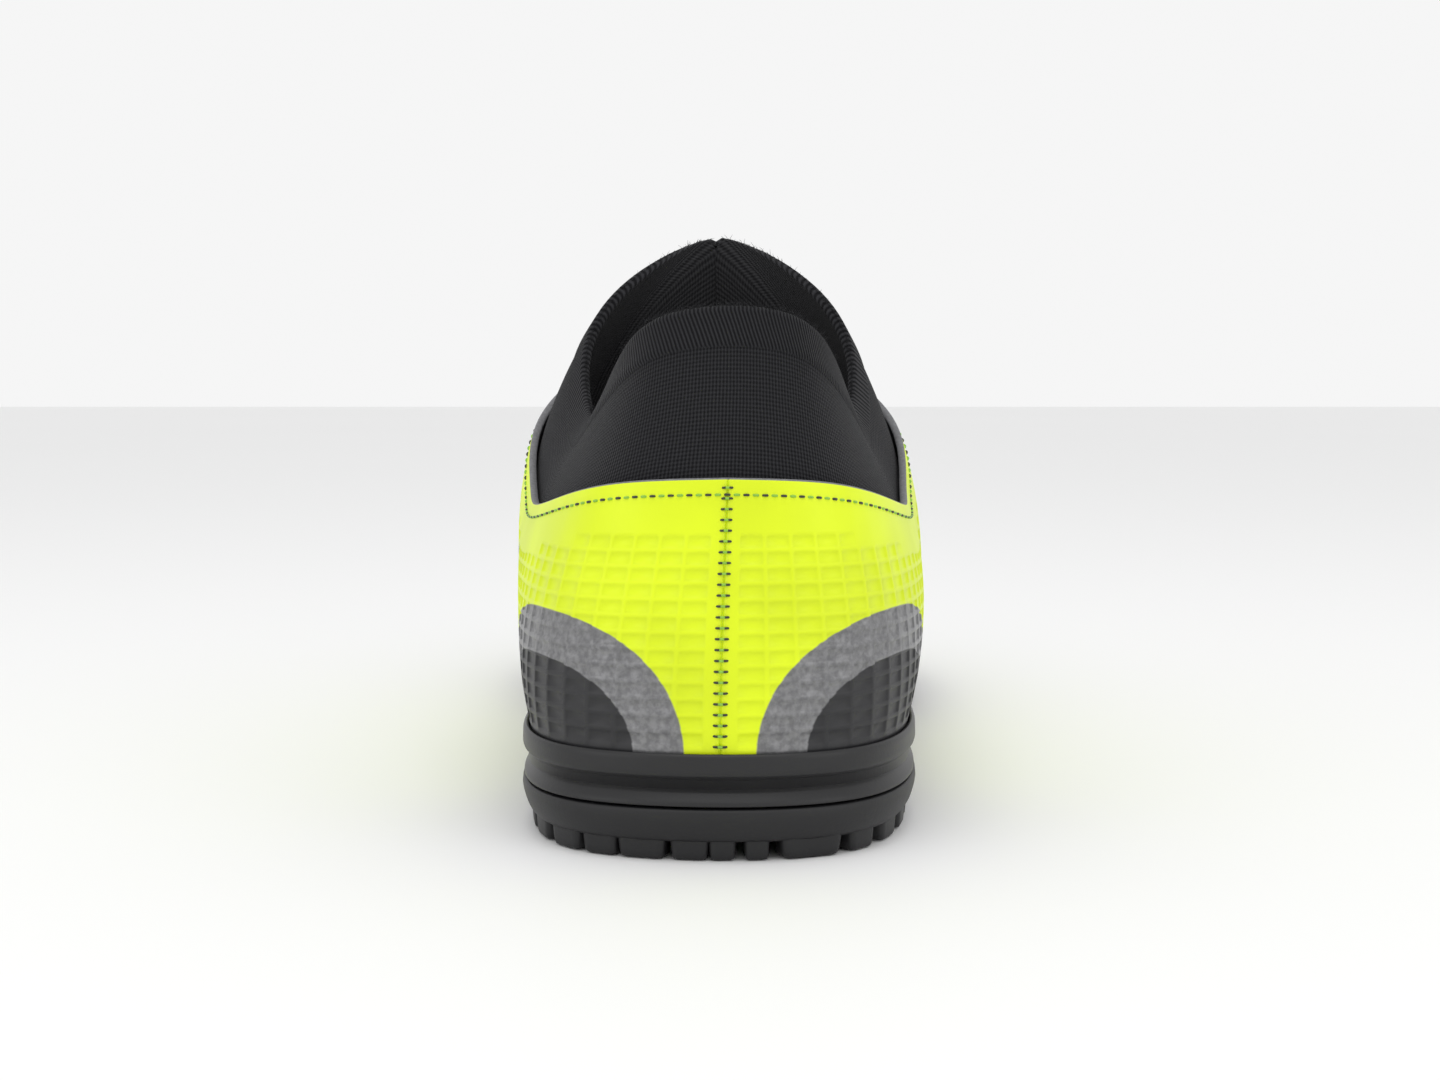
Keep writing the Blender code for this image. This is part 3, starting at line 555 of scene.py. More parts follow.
def coated_yellow_finish():
    """Coated neon synthetic, with a silver sweep and a black field low on each side of the heel."""
    made = Finish("coated_yellow", roughness=0.42, Specular_IOR_Level=0.45)
    run, height, below_edge = made.attribute("sheet_place")
    side = run.absolute() / MM
    up = height / MM
    cloudy = made.noise(38.0, 2.0)
    yellow = cloudy.step(0.3, 0.7).mix((0.66, 0.80, 0.0), (0.74, 0.90, 0.0))

    in_field = 1 - printed_area(side, up, FIELD_REACH, FIELD_RISE).step(0.992, 1.008)
    in_sweep = 1 - printed_area(side, up, SWEEP_REACH, SWEEP_RISE).step(0.994, 1.006)
    silver_grain = made.noise(900.0, 2.0)
    silver = silver_grain.step(0.25, 0.75).mix((0.15, 0.15, 0.155), (0.24, 0.24, 0.245))
    colour = in_sweep.mix(yellow, silver)
    colour = in_field.mix(colour, (0.016, 0.016, 0.018))

    drift = (made.noise(60.0, 3.0) - 0.5) * STREAK_DRIFT
    streak = (up - STREAK_LEVEL + (side - STREAK_MIDDLE + 4.0) * STREAK_SLOPE + drift).absolute()
    ends = ((side - STREAK_MIDDLE).absolute() - STREAK_HALF_LENGTH).step(-6.0, 6.0)
    ragged = (made.noise(420.0, 4.0, 0.7) - 0.5) * 6.0
    in_streak = (1 - (streak + ragged).step(STREAK_HALF_WIDTH, STREAK_HALF_WIDTH + 0.8)) * (1 - ends)
    specks = made.noise(760.0, 3.0, 0.8).step(0.47, 0.53)
    streak_colour = specks.mix((0.13, 0.19, 0.28), (0.55, 0.60, 0.66))
    colour = in_streak.mix(colour, streak_colour)
    made.feed("Base Color", colour)

    sheen_change = made.noise(160.0, 3.0) * 0.10
    made.feed("Roughness", 0.37 + sheen_change - in_sweep * 0.06 + in_field * 0.10)
    made.feed("Metallic", in_sweep * (1 - in_field) * 0.45)
    grain = made.noise(2600.0, 2.0) * 0.5 + made.noise(900.0, 2.0) * 0.5
    made.relief(grain, 0.05 * MM, 0.5)
    return made.material


def cut_edge_finish():
    """The shell's bare cut edge: grey backing under the coating."""
    made = Finish("cut_edge", roughness=0.85)
    fibres = made.noise(1400.0, 3.0)
    made.feed("Base Color", fibres.mix((0.10, 0.10, 0.105), (0.26, 0.26, 0.27)))
    made.relief(fibres, 0.12 * MM)
    return made.material


def lining_finish():
    """Black textile lining on the shell's inner side."""
    made = Finish("black_lining", roughness=0.9)
    weave = made.noise(1600.0, 2.0)
    made.feed("Base Color", weave.mix((0.010, 0.010, 0.011), (0.022, 0.022, 0.024)))
    made.relief(weave, 0.1 * MM)
    return made.material


for finish in (coated_yellow_finish(), cut_edge_finish(), lining_finish()):
    shell.data.materials.append(finish)
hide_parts("upper")
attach(shell, "root")

# The knitted sock collar. A black stretch knit rises out of the shell as a rounded heel tab, dips
# under the ankles and runs on as the tongue. Its edge is a doubled band, sewn down with slanted stitches.
SOCK_GAP = 0.6 * MM
SOCK_WALL = 1.9 * MM
SOCK_LAP = 13 * MM
SOCK_END_ROW = 9.9
BAND_WIDTH = 6.5 * MM
BAND_RISE = 0.45 * MM

BAND_STEPS = np.array([0.0, 0.5, 1.2, 2.2, 3.4, 4.6, 5.6, 6.2, 6.6, 7.2]) * MM
BODY_STEPS = np.linspace(0, 1, 30)[1:]

sock_run = np.linspace(0, np.interp(SOCK_END_ROW, fine_places, fine_run), 150)
sock_row = places_at(sock_run)
sock_places = np.concatenate([RING - sock_row[:0:-1], sock_row])
sock_side = np.concatenate([-sock_run[:0:-1], sock_run])
sock_row = np.concatenate([sock_row[:0:-1], sock_row])
sock_curves = section_curves(sock_places)
sock_foot = cut_shares(sock_places, sock_curves, lower=SOCK_LAP, wider=SOCK_LAP, end_row=SOCK_END_ROW)
whole_share = np.ones(len(sock_places))
sock_full = curve_lengths(sock_curves, whole_share)
sock_room = sock_full - curve_lengths(sock_curves, sock_foot)
band_down = np.minimum(BAND_STEPS[None, :], sock_room[:, None] * 0.6 * (BAND_STEPS / BAND_STEPS[-1])[None, :])
body_down = band_down[:, -1:] + (sock_room[:, None] - band_down[:, -1:]) * BODY_STEPS[None, :]
down = np.concatenate([band_down, body_down], axis=1)
sock_base = read_heights(sock_curves, whole_share, sock_full[:, None] - down)
sock_normals = grid_normals(sock_base, closed=False) * -1
on_tongue = sock_row > TONGUE_TOP_ROW
mirrored = sock_normals[::-1]
shared = sock_normals[:, 0] + mirrored[:, 0]
shared /= np.linalg.norm(shared, axis=-1, keepdims=True)
lean = np.maximum(0.6, (shared * sock_normals[:, 0]).sum(axis=-1, keepdims=True))
sock_normals[on_tongue, 0] = (shared / lean)[on_tongue]
in_band = np.clip((BAND_WIDTH - down) / (0.6 * MM), 0, 1) * (~on_tongue)[:, None]
sock_outer = sock_base - sock_normals * (UPPER_WALL + SOCK_GAP - BAND_RISE * in_band)[..., None]
sock_inner = sock_base - sock_normals * (UPPER_WALL + SOCK_GAP + SOCK_WALL)
climb = sock_base[:, :1] - sock_base[:, 2:3]
climb /= np.maximum(np.linalg.norm(climb, axis=-1, keepdims=True), 1e-9)
roll = []
for angle in (35, 70, 110, 145):
    turn = math.radians(angle)
    depth = UPPER_WALL + SOCK_GAP - BAND_RISE + (SOCK_WALL + BAND_RISE) * (1 - math.cos(turn)) / 2
    roll.append(sock_base[:, :1] - sock_normals[:, :1] * depth + climb * math.sin(turn) * 0.9 * MM)
sock_grid = np.concatenate([sock_outer[:, ::-1], *roll, sock_inner], axis=1) - [0, HEEL_ORIGIN, 0]
steps_down = down.shape[1]
columns, rows = sock_grid.shape[:2]
faces, slots = [], []
for i in range(columns - 1):
    for k in range(rows - 1):
        rolled = steps_down - 1 <= k < steps_down + 4
        if rolled and on_tongue[i] and on_tongue[i + 1]:
            continue
        a, b = i * rows + k, (i + 1) * rows + k
        faces.append((a, b, b + 1, a + 1))
        slots.append(1 if k >= steps_down + 4 else 0)
knit_down = np.concatenate([down[:, ::-1], np.zeros((columns, 4)), down], axis=1)
knit_side = np.repeat(sock_side[:, None], rows, axis=1)
knit_layer = np.stack([knit_side, knit_down, np.zeros_like(knit_down)], axis=-1).reshape(-1, 3)
sock = mesh_piece("sock_collar_knit", sock_grid.reshape(-1, 3), faces, slots, {"knit_place": knit_layer})
settle(sock, weld=True)


WALE_PITCH = 0.95 * MM
COURSE_PITCH = 0.75 * MM
BAND_RIB_PITCH = 1.15 * MM


def knit_finish(name, dark, light, band=True):
    """Matt knit: fine wales that run down from the edge, and slanted ribs over the binding band."""
    made = Finish(name, roughness=0.95, Specular_IOR_Level=0.12, Sheen_Weight=0.06, Sheen_Roughness=0.5)
    run, below, unused = made.attribute("knit_place")
    jitter = made.noise(220.0, 2.0) - 0.5
    wale = (run / WALE_PITCH * math.tau + jitter * 2.2).math("SINE") * 0.5 + 0.5
    course = (below / COURSE_PITCH * math.tau + jitter * 2.0).math("SINE") * 0.5 + 0.5
    slant = ((run - below * 0.55) / BAND_RIB_PITCH * math.tau + jitter * 1.6).math("SINE") * 0.5 + 0.5
    over_band = 1 - (below / MM).step(5.9, 6.6)
    knit = wale * 0.6 + course * 0.4
    if band:
        knit = knit * (1 - over_band) + slant * over_band
    fluff = made.noise(1900.0, 4.0, 0.75)
    height = knit * 0.6 + fluff * 0.4
    made.feed("Base Color", height.step(0.2, 0.8).mix(dark, light))
    made.relief(height, 0.35 * MM)
    return made.material


outer_knit = knit_finish("knit_black", (0.006, 0.006, 0.007), (0.030, 0.030, 0.033))
inner_knit = knit_finish("knit_lining", (0.008, 0.008, 0.009), (0.035, 0.035, 0.037), band=False)
sock.data.materials.append(outer_knit)
sock.data.materials.append(inner_knit)
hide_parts("sock_collar")
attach(sock, "root")


def tubes(name, paths, radii, sides=6, materials=1):
    """Round threads along paths of points, in one piece. radii gives each path's radius or radii."""
    verts, faces, slots = [], [], []
    for number, (path, radius) in enumerate(zip(paths, radii)):
        path = np.asarray(path, float)
        radius = np.broadcast_to(radius, len(path))
        ahead = np.gradient(path, axis=0)
        ahead /= np.maximum(np.linalg.norm(ahead, axis=1, keepdims=True), 1e-12)
        guide = np.array([0, 0, 1.0]) if abs(ahead[0][2]) < 0.8 else np.array([1.0, 0, 0])
        start = len(verts)
        for point, way, thick in zip(path, ahead, radius):
            a = np.cross(way, guide)
            a /= np.linalg.norm(a)
            b = np.cross(way, a)
            for k in range(sides):
                turn = math.tau * k / sides
                verts.append(point + (a * math.cos(turn) + b * math.sin(turn)) * thick)
        for i in range(len(path) - 1):
            for k in range(sides):
                a, b = start + i * sides + k, start + i * sides + (k + 1) % sides
                faces.append((a, b, b + sides, a + sides))
                slots.append(number % materials)
        faces.append(tuple(start + k for k in range(sides - 1, -1, -1)))
        faces.append(tuple(start + (len(path) - 1) * sides + k for k in range(sides)))
        slots += [number % materials] * 2
    return mesh_piece(name, verts, faces, slots)


chance = np.random.default_rng(7)
FUZZ_COUNT = 1500
fuzz_paths = []
edge_line = sock_grid[~on_tongue, steps_down + 1]
edge_out = -sock_normals[~on_tongue, 0]
edge_up = climb[~on_tongue, 0]
for k in range(FUZZ_COUNT):
    place = chance.uniform(0, len(edge_line) - 1.001)
    i, part = int(place), place % 1
    root = edge_line[i] * (1 - part) + edge_line[i + 1] * part
    lean = edge_out[i] * chance.normal(0, 0.6) + edge_up[i] * chance.uniform(0.3, 1.0)
    lean = lean + chance.normal(0, 0.45, 3)
    lean /= np.linalg.norm(lean)
    length = chance.uniform(0.35, 1.1) * MM
    bend = chance.normal(0, 0.3, 3) * length
    fuzz_paths.append([root - lean * 0.3 * MM, root + lean * length * 0.5, root + lean * length + bend])
fuzz = tubes("collar_fuzz", fuzz_paths, [[0.055 * MM, 0.045 * MM, 0.02 * MM]] * FUZZ_COUNT, sides=3)
fuzz.data.materials.append(outer_knit)
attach(fuzz, "root")

# The seam and the stitching. The shell closes in a butted seam up the back of the heel, sewn across in
# green thread, and a row of dark and green lockstitch runs round under the cut edge.
STITCH_BELOW_EDGE = 2.7 * MM
STITCH_PITCH = 2.2 * MM
STITCH_LENGTH = 1.45 * MM
SEAM_STITCH_PITCH = 1.9 * MM
SEAM_STITCH_WIDTH = 2.7 * MM
THREAD_RADIUS = 0.24 * MM


def on_shell(runs, heights=None, below_edge=None):
    """Points on the shell's outer side and its outward directions. Heights run up from the sole."""
    runs = np.asarray(runs, float)
    found = []
    small = 0.2 * MM
    for shift, lift in ((0, 0), (small, 0), (-small, 0), (0, small), (0, -small)):
        places = places_at(runs + shift)
        curves = section_curves(places)
        tops = cut_shares(places, curves)
        level = heights if below_edge is None else curve_lengths(curves, tops) - below_edge
        found.append(read_heights(curves, np.ones(len(places)), (np.asarray(level) + lift)[:, None])[:, 0])
    normal = np.cross(found[1] - found[2], found[3] - found[4])
    normal /= np.linalg.norm(normal, axis=1, keepdims=True)
    return found[0] - [0, HEEL_ORIGIN, 0], normal


def thread_finish(name, colour, roughness=0.6):
    made = Finish(name, roughness=roughness, Sheen_Weight=0.2)
    strand = made.noise(2400.0, 2.0)
    dull = tuple(0.6 * c for c in colour)
    made.feed("Base Color", strand.mix(dull, colour))
    made.relief(strand, 0.06 * MM)
    return made.material


green_thread = thread_finish("green_thread", (0.30, 0.62, 0.06))
dark_thread = thread_finish("dark_thread", (0.030, 0.034, 0.020))

STITCH_REACH = 150 * MM
stitch_starts = np.arange(-STITCH_REACH, STITCH_REACH, STITCH_PITCH) + 0.4 * MM
row_paths, row_radii = [], []
lifts = (-0.35, 0.10, 0.20, 0.10, -0.35)
for part, lift in zip(np.linspace(-0.5, 0.5, 5), lifts):
    points, normals = on_shell(stitch_starts + part * STITCH_LENGTH, below_edge=STITCH_BELOW_EDGE)
    row_paths.append(points + normals * lift * MM)
row_paths = list(np.stack(row_paths, axis=1))
stitch_row = tubes("topline_stitches", row_paths, [THREAD_RADIUS] * len(row_paths), materials=2)
stitch_row.data.materials.append(dark_thread)
stitch_row.data.materials.append(green_thread)

seam_curve = section_curves(np.array([0.0]))
seam_top = curve_lengths(seam_curve, cut_shares(np.array([0.0]), seam_curve))[0]
seam_heights = np.arange(1.2 * MM, seam_top - 0.8 * MM, SEAM_STITCH_PITCH)
seam_paths, dark_paths = [], []
across = np.linspace(-0.5, 0.5, 7)
line = []
for part, lift in zip(across, (-0.30, 0.16, 0.22, 0.22, 0.22, 0.16, -0.30)):
    points, normals = on_shell(np.full(len(seam_heights), part * SEAM_STITCH_WIDTH), heights=seam_heights)
    line.append(points + normals * lift * MM)
line = np.stack(line, axis=1)
seam_stitches = tubes("seam_stitches", list(line[:, 2:5]), [THREAD_RADIUS] * len(line))
seam_stitches.data.materials.append(green_thread)
ends = list(line[:, :3]) + list(line[:, 4:])
seam_ends = tubes("seam_stitch_ends", ends, [THREAD_RADIUS * 0.95] * len(ends))
seam_ends.data.materials.append(dark_thread)
for piece in (stitch_row, seam_stitches, seam_ends):
    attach(piece, "root")

# The midsole. A black foam sole is moulded with a lip that stands around the upper, a groove under
# it and a rounded foot. The upper is glued into its cup.
MIDSOLE_SIDE = (
    (0.500, 0.55), (0.508, 0.20), (0.545, 0.25), (0.600, 1.00), (0.650, 1.65), (0.690, 1.80),
    (0.725, 1.60), (0.775, 0.50), (0.800, 0.05), (0.830, -0.10), (0.950, -0.05), (0.980, 0.12), (1.000, 0.50),
)
PARTING_HEIGHT = 9.4 * MM
SOLE_COLUMNS = 640
sole_places = places_at(np.linspace(0, GIRTH, SOLE_COLUMNS, endpoint=False))


def parting(y):
    return PARTING_HEIGHT + ground_rise(y)


def side_level(share, y):
    level = PARTING_HEIGHT / SOLE_HEIGHT
    return parting(y) + (sole_top(y) - parting(y)) * (share - level) / (1 - level)


def sole_line(inset, height):
    """A closed line around the sole, moved in by inset, at the height that a function gives."""
    flat = sole_edge(sole_places, inset)[0]
    return np.concatenate([flat, height(flat[:, 1])[:, None]], axis=1)


def ring_piece(name, lines):
    """A piece through closed lines around the shoe, closed across the shoe at both ends."""
    count = len(lines[0])
    verts = np.concatenate(lines) - [0, HEEL_ORIGIN, 0]
    faces = []
    for ring in range(len(lines) - 1):
        for i in range(count):
            j = (i + 1) % count
            faces.append((ring * count + i, ring * count + j, (ring + 1) * count + j, (ring + 1) * count + i))
    for ring in (0, len(lines) - 1):
        for i in range(count // 2):
            corners = [i, i + 1, (count - i - 1) % count, (count - i) % count]
            faces.append(tuple(ring * count + c for c in dict.fromkeys(corners)))
    made = mesh_piece(name, verts, faces)
    settle(made)
    return made


share_steps = np.linspace(0, 1, 40)
side_shares = np.interp(share_steps, np.linspace(0, 1, len(MIDSOLE_SIDE)), [s for s, _ in MIDSOLE_SIDE])
side_insets = np.interp(side_shares, [s for s, _ in MIDSOLE_SIDE], [i for _, i in MIDSOLE_SIDE]) * MM
lines = [sole_line(6 * MM, lambda y: parting(y) + 0.15 * MM)]
for share, inset in zip(side_shares, side_insets):
    lines.append(sole_line(inset, lambda y: side_level(share, y) + 0.15 * MM * (share < 0.51)))
lines.append(sole_line(LIP_WALL, lambda y: sole_top(y) - 0.15 * MM))
lines.append(sole_line(LIP_WALL, lambda y: sole_top(y) - CUP_DEPTH - PIECE_GAP))
midsole = ring_piece("foam_midsole", lines)


def moulded_finish(name, dark, light, roughness, depth):
    """Moulded black rubber or foam with a satin skin and a fine grain."""
    made = Finish(name, roughness=roughness, Specular_IOR_Level=0.4)
    broad = made.noise(45.0, 3.0)
    grain = made.noise(1500.0, 3.0)
    made.feed("Base Color", broad.mix(dark, light))
    made.feed("Roughness", roughness - 0.06 + broad * 0.12)
    made.relief(grain, depth)
    return made.material


foam = moulded_finish("foam_black", (0.009, 0.009, 0.010), (0.018, 0.018, 0.019), 0.42, 0.03 * MM)
midsole.data.materials.append(foam)
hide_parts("midsole")
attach(midsole, "root")

# The outsole. A thin sheet of black rubber is wrapped up around the midsole's foot, with short square
# studs round the rim and rows of small round studs between them, for artificial turf.
STUD_HEIGHT = 3.2 * MM
OUTSOLE_SIDE = (
    (0.00, 2.30), (0.02, 1.75), (0.10, 1.25), (0.25, 0.75), (0.40, 0.40), (0.60, 0.05), (0.75, -0.10),
    (0.90, -0.02), (0.97, 0.10), (1.00, 0.45),
)
RIM_STUD_DEPTH = 5 * MM
RIM_STUD_INSET = 1.9 * MM
RIM_STUD_WIDTH = 7 * MM
RIM_STUD_PITCH = 10.5 * MM
HEEL_RIM_STUDS = (
    (0.005, 0.060), (0.090, 0.056), (0.232, 0.145), (0.395, 0.085),
    (0.540, 0.100), (0.690, 0.100), (0.840, 0.100),
    (-0.075, 0.086), (-0.195, 0.110), (-0.310, 0.088), (-0.430, 0.100),
    (-0.570, 0.100), (-0.710, 0.100), (-0.850, 0.100),
)
ROUND_STUD_RADIUS = 2.9 * MM
ROUND_STUD_PITCH = 14 * MM
STUD_ROOT = 1.4 * MM

lines = [sole_line(6 * MM, lambda y: parting(y) - 0.15 * MM)]
for share, inset in reversed(OUTSOLE_SIDE):
    low = lambda y: STUD_HEIGHT + ground_rise(y)
    lines.append(sole_line(inset * MM, lambda y: low(y) + (parting(y) - 0.15 * MM - low(y)) * share))
outsole = ring_piece("rubber_outsole", lines)


STUD_SIDE = ((1.0, 1.10), (0.35, 1.02), (0.12, 0.97), (0.03, 0.90), (0.0, 0.78))


def stud_loops(outline, centre, across, out):
    """Loops of a stud from its root down to its foot. The foot's edge is rounded and the sides lean in."""
    foot = ground_rise(centre[1])
    loops = []
    for level, size in STUD_SIDE:
        z = foot + (STUD_HEIGHT + STUD_ROOT) * level
        loops.append([(*(centre + (across * a + out * b) * size), z) for a, b in outline])
    return loops


square = []
for corner in range(4):
    for turn in np.linspace(0, 90, 4):
        angle = math.radians(corner * 90 + turn)
        sign = np.array([(1, 1), (-1, 1), (-1, -1), (1, -1)][corner])
        square.append(sign * 0.32 + np.array([math.cos(angle), math.sin(angle)]) * 0.18)
square = np.array(square)
circle = np.array([(math.cos(t), math.sin(t)) for t in np.linspace(0, math.tau, 20, endpoint=False)])
verts, faces = [], []


def add_stud(outline, centre, across, out):
    loops = stud_loops(outline, centre, across, out)
    start, count = len(verts), len(outline)
    for loop in loops:
        verts.extend(np.array(loop) - [0, HEEL_ORIGIN, 0])
    for ring in range(len(loops) - 1):
        for i in range(count):
            j = (i + 1) % count
            a, b = start + ring * count, start + (ring + 1) * count
            faces.append((a + i, b + i, b + j, a + j))
    faces.append(tuple(start + (len(loops) - 1) * count + i for i in range(count - 1, -1, -1)))


def add_rim_stud(distance, width):
    place = places_at(np.array([distance]))
    centre, out = sole_edge(place, RIM_STUD_INSET + RIM_STUD_DEPTH / 2)
    across = np.array([-out[0][1], out[0][0]])
    outline = square * [width, RIM_STUD_DEPTH]
    add_stud(outline, centre[0], across, out[0])


for share, width in HEEL_RIM_STUDS:
    add_rim_stud(share * HEEL_WIDTH, width * HEEL_WIDTH)
for side, far in ((1, LATERAL_GIRTH), (-1, GIRTH - LATERAL_GIRTH)):
    distance = 0.50 * SHOE_LENGTH + (0.02 * SHOE_LENGTH if side < 0 else 0)
    while distance < far - 4 * MM:
        add_rim_stud(side * distance, RIM_STUD_WIDTH)
        distance += RIM_STUD_PITCH
edge_line = sole_edge(fine_places, RIM_STUD_INSET + RIM_STUD_DEPTH + ROUND_STUD_RADIUS + 1.6 * MM)[0]
lateral_edge = edge_line[fine_places <= LAST_ROW]
medial_edge = edge_line[fine_places > LAST_ROW][::-1]
RIGHT, AHEAD = np.array([1.0, 0]), np.array([0, 1.0])
WAIST_START, WAIST_END, STUD_MARGIN = 0.27 * SHOE_LENGTH, 0.50 * SHOE_LENGTH, 18 * MM
y, number = HEEL_ORIGIN - ROUND_STUD_PITCH, 0
while y < SHOE_LENGTH - STUD_MARGIN:
    if not WAIST_START < y < WAIST_END:
        shift = 0 if number % 2 else ROUND_STUD_PITCH / 2
        for side, edge in ((1, lateral_edge), (-1, medial_edge)):
            reach = abs(np.interp(y, edge[:, 1], edge[:, 0]))
            for x in np.arange(shift, reach, ROUND_STUD_PITCH):
                if x > 0 or side > 0:
                    add_stud(circle * ROUND_STUD_RADIUS, np.array([side * x, y]), RIGHT, AHEAD)
    y += ROUND_STUD_PITCH
    number += 1
studs = mesh_piece("turf_studs", verts, faces)
settle(studs)
rubber = moulded_finish("rubber_black", (0.007, 0.007, 0.008), (0.014, 0.014, 0.015), 0.5, 0.04 * MM)
for piece in (outsole, studs):
    piece.data.materials.append(rubber)
    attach(piece, "root")
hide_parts("outsole")

# The insole. A die-cut foam sheet covered in black textile lies loose in the midsole's cup.
INSOLE_THICKNESS = 4 * MM
insole_edge = LIP_WALL + PIECE_GAP + UPPER_WALL + PIECE_GAP
lines = []
for lift, inset in ((0.0, 0.0), (0.6, 0.0), (0.85, 0.1), (0.97, 0.5), (1.0, 1.2), (1.0, 3.0)):
    level = lift * INSOLE_THICKNESS - CUP_DEPTH
    lines.append(sole_line(insole_edge + inset * MM, lambda y: sole_top(y) + level))
insole = ring_piece("textile_insole", lines)


def insole_finish():
    made = Finish("insole_black", roughness=0.95, Sheen_Weight=0.3)
    weave = made.noise(1300.0, 3.0)
    made.feed("Base Color", weave.mix((0.012, 0.012, 0.013), (0.032, 0.032, 0.034)))
    made.relief(weave, 0.15 * MM)
    return made.material


insole.data.materials.append(insole_finish())
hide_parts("insole")
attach(insole, "root")

# The lace. A flat woven black lace crosses the throat from a bar at the toe end up to the top pair of
# eyelets, drawn tight over the tongue, and dives down into each punched eyelet.
EYELET_PAIRS = 5
EYELET_INSET = 7 * MM
EYELET_RADIUS = 2.0 * MM
LACE_WIDTH = 6 * MM
LACE_THICKNESS = 1.3 * MM
LACE_CLEARANCE = 0.5 * MM


def eyelet_places():
    """Plan positions of the eyelets, pair by pair from the toe end of the throat upwards."""
    low_y, high_y = 0.568 * SHOE_LENGTH, 0.372 * SHOE_LENGTH
    middle = form_tops(np.array([float(TONGUE_TOP_ROW)]))[0, 0]
    pairs = []
    for share in np.linspace(0, 1, EYELET_PAIRS):
        half = (THROAT_WIDTH / 2 + EYELET_INSET) * (0.93 + 0.07 * share)
        y = low_y + (high_y - low_y) * share
        pairs.append([np.array([middle + side * half, y]) for side in (1, -1)])
    return pairs


def surface_tree(*pieces):
    points, faces = [], []
    for piece in pieces:
        start = len(points)
        points += [v.co for v in piece.data.vertices]
        faces += [[start + i for i in face.vertices] for face in piece.data.polygons]
    return BVHTree.FromPolygons(points, faces)


throat_tree = surface_tree(shell, sock)


def surface_at(flat):
    above = Vector((flat[0], flat[1] - HEEL_ORIGIN, 1))
    point, normal, _, _ = throat_tree.ray_cast(above, Vector((0, 0, -1)))
    return point.z, normal if normal.z > 0 else -normal


holes = bmesh.new()
for pair in eyelet_places():
    for flat in pair:
        z, normal = surface_at(flat)
        turn = Vector((0, 0, 1)).rotation_difference(normal).to_matrix().to_4x4()
        size = {"radius1": EYELET_RADIUS, "radius2": EYELET_RADIUS, "depth": UPPER_WALL * 5}
        made = bmesh.ops.create_cone(holes, cap_ends=True, segments=24, **size)
        turn.translation = Vector((flat[0], flat[1] - HEEL_ORIGIN, z))
        bmesh.ops.transform(holes, matrix=turn, verts=made["verts"])
holes_mesh = bpy.data.meshes.new("eyelet_punches")
holes.to_mesh(holes_mesh)
holes.free()
punches = bpy.data.objects.new("eyelet_punches", holes_mesh)
bpy.context.scene.collection.objects.link(punches)
punches.hide_render = True
punches.hide_viewport = True
cut = shell.modifiers.new("eyelets", "BOOLEAN")
cut.operation = "DIFFERENCE"
cut.object = punches


def taut_line(places, heights):
    """Heights of a line drawn tight over a profile: its upper hull, read again at the same places."""
    hull = []
    for point in zip(places, heights):
        while len(hull) > 1:
            (x0, z0), (x1, z1) = hull[-2:]
            if (x1 - x0) * (point[1] - z0) < (z1 - z0) * (point[0] - x0):
                break
            hull.pop()
        hull.append(point)
    return np.interp(places, [x for x, _ in hull], [z for _, z in hull])


LACE_STEPS = 48
LACE_PLUNGE = 3.4 * MM
LACE_SECTION = (
    (-1.0, 0.5), (-0.93, 0.12), (-0.8, 0.0), (0.8, 0.0), (0.93, 0.12), (1.0, 0.5),
    (0.93, 0.88), (0.8, 1.0), (0.0, 1.06), (-0.8, 1.0), (-0.93, 0.88),
)
PINCH_LENGTH, PINCH_SHARE, PLUNGE_LENGTH = 4.5 * MM, 0.42, 1.3 * MM
lace_verts, lace_faces, lace_places = [], [], []


def lay_lace(start, end, lift):
    """One run of flat lace between two eyelets. It narrows at each end and goes down through the hole."""
    span = np.linalg.norm(end - start)
    flat_way = (end - start) / span
    side_way = np.array([-flat_way[1], flat_way[0]])
    shares = np.linspace(0, 1, LACE_STEPS + 1)
    lines = []
    for side in (1, 0, -1):
        first_point = start + side_way * side * LACE_WIDTH / 2
        heights_under = [surface_at(first_point + (end - start) * share)[0] for share in shares]
        lines.append(taut_line(shares * span, heights_under))
    left, middle, right = lines
    first = len(lace_verts)
    for i, share in enumerate(shares):
        near = min(share, 1 - share) * span
        pinch = PINCH_SHARE + (1 - PINCH_SHARE) * min(1, near / PINCH_LENGTH) ** 0.7
        plunge = LACE_PLUNGE * max(0, 1 - near / PLUNGE_LENGTH) ** 1.5
        bulge = max(0.0, middle[i] - (left[i] + right[i]) / 2)
        low = bulge + lift * math.sin(math.pi * share) + LACE_CLEARANCE - plunge
        for a, b in LACE_SECTION:
            half = LACE_WIDTH / 2 * pinch * a
            tilt = (left[i] - right[i]) / 2 * pinch * a
            flat = start + (end - start) * share + side_way * half
            z = (left[i] + right[i]) / 2 + tilt + low + b * LACE_THICKNESS * (1 + (1 - pinch) * 0.5)
            lace_verts.append((flat[0], flat[1] - HEEL_ORIGIN, z))
            lace_places.append((share * span, a * LACE_WIDTH / 2, b))
    count = len(LACE_SECTION)
    for i in range(LACE_STEPS):
        for k in range(count):
            a, b = first + i * count + k, first + i * count + (k + 1) % count
            lace_faces.append((a, b, b + count, a + count))
    lace_faces.append(tuple(first + k for k in range(count - 1, -1, -1)))
    lace_faces.append(tuple(first + LACE_STEPS * count + k for k in range(count)))


pairs = eyelet_places()
lay_lace(pairs[0][0], pairs[0][1], 0.0)
for below, above in zip(pairs, pairs[1:]):
    lay_lace(below[0], above[1], 0.0)
    lay_lace(below[1], above[0], 0.7 * LACE_THICKNESS)
lace = mesh_piece("flat_lace", lace_verts, lace_faces, None, {"lace_place": lace_places})
settle(lace)


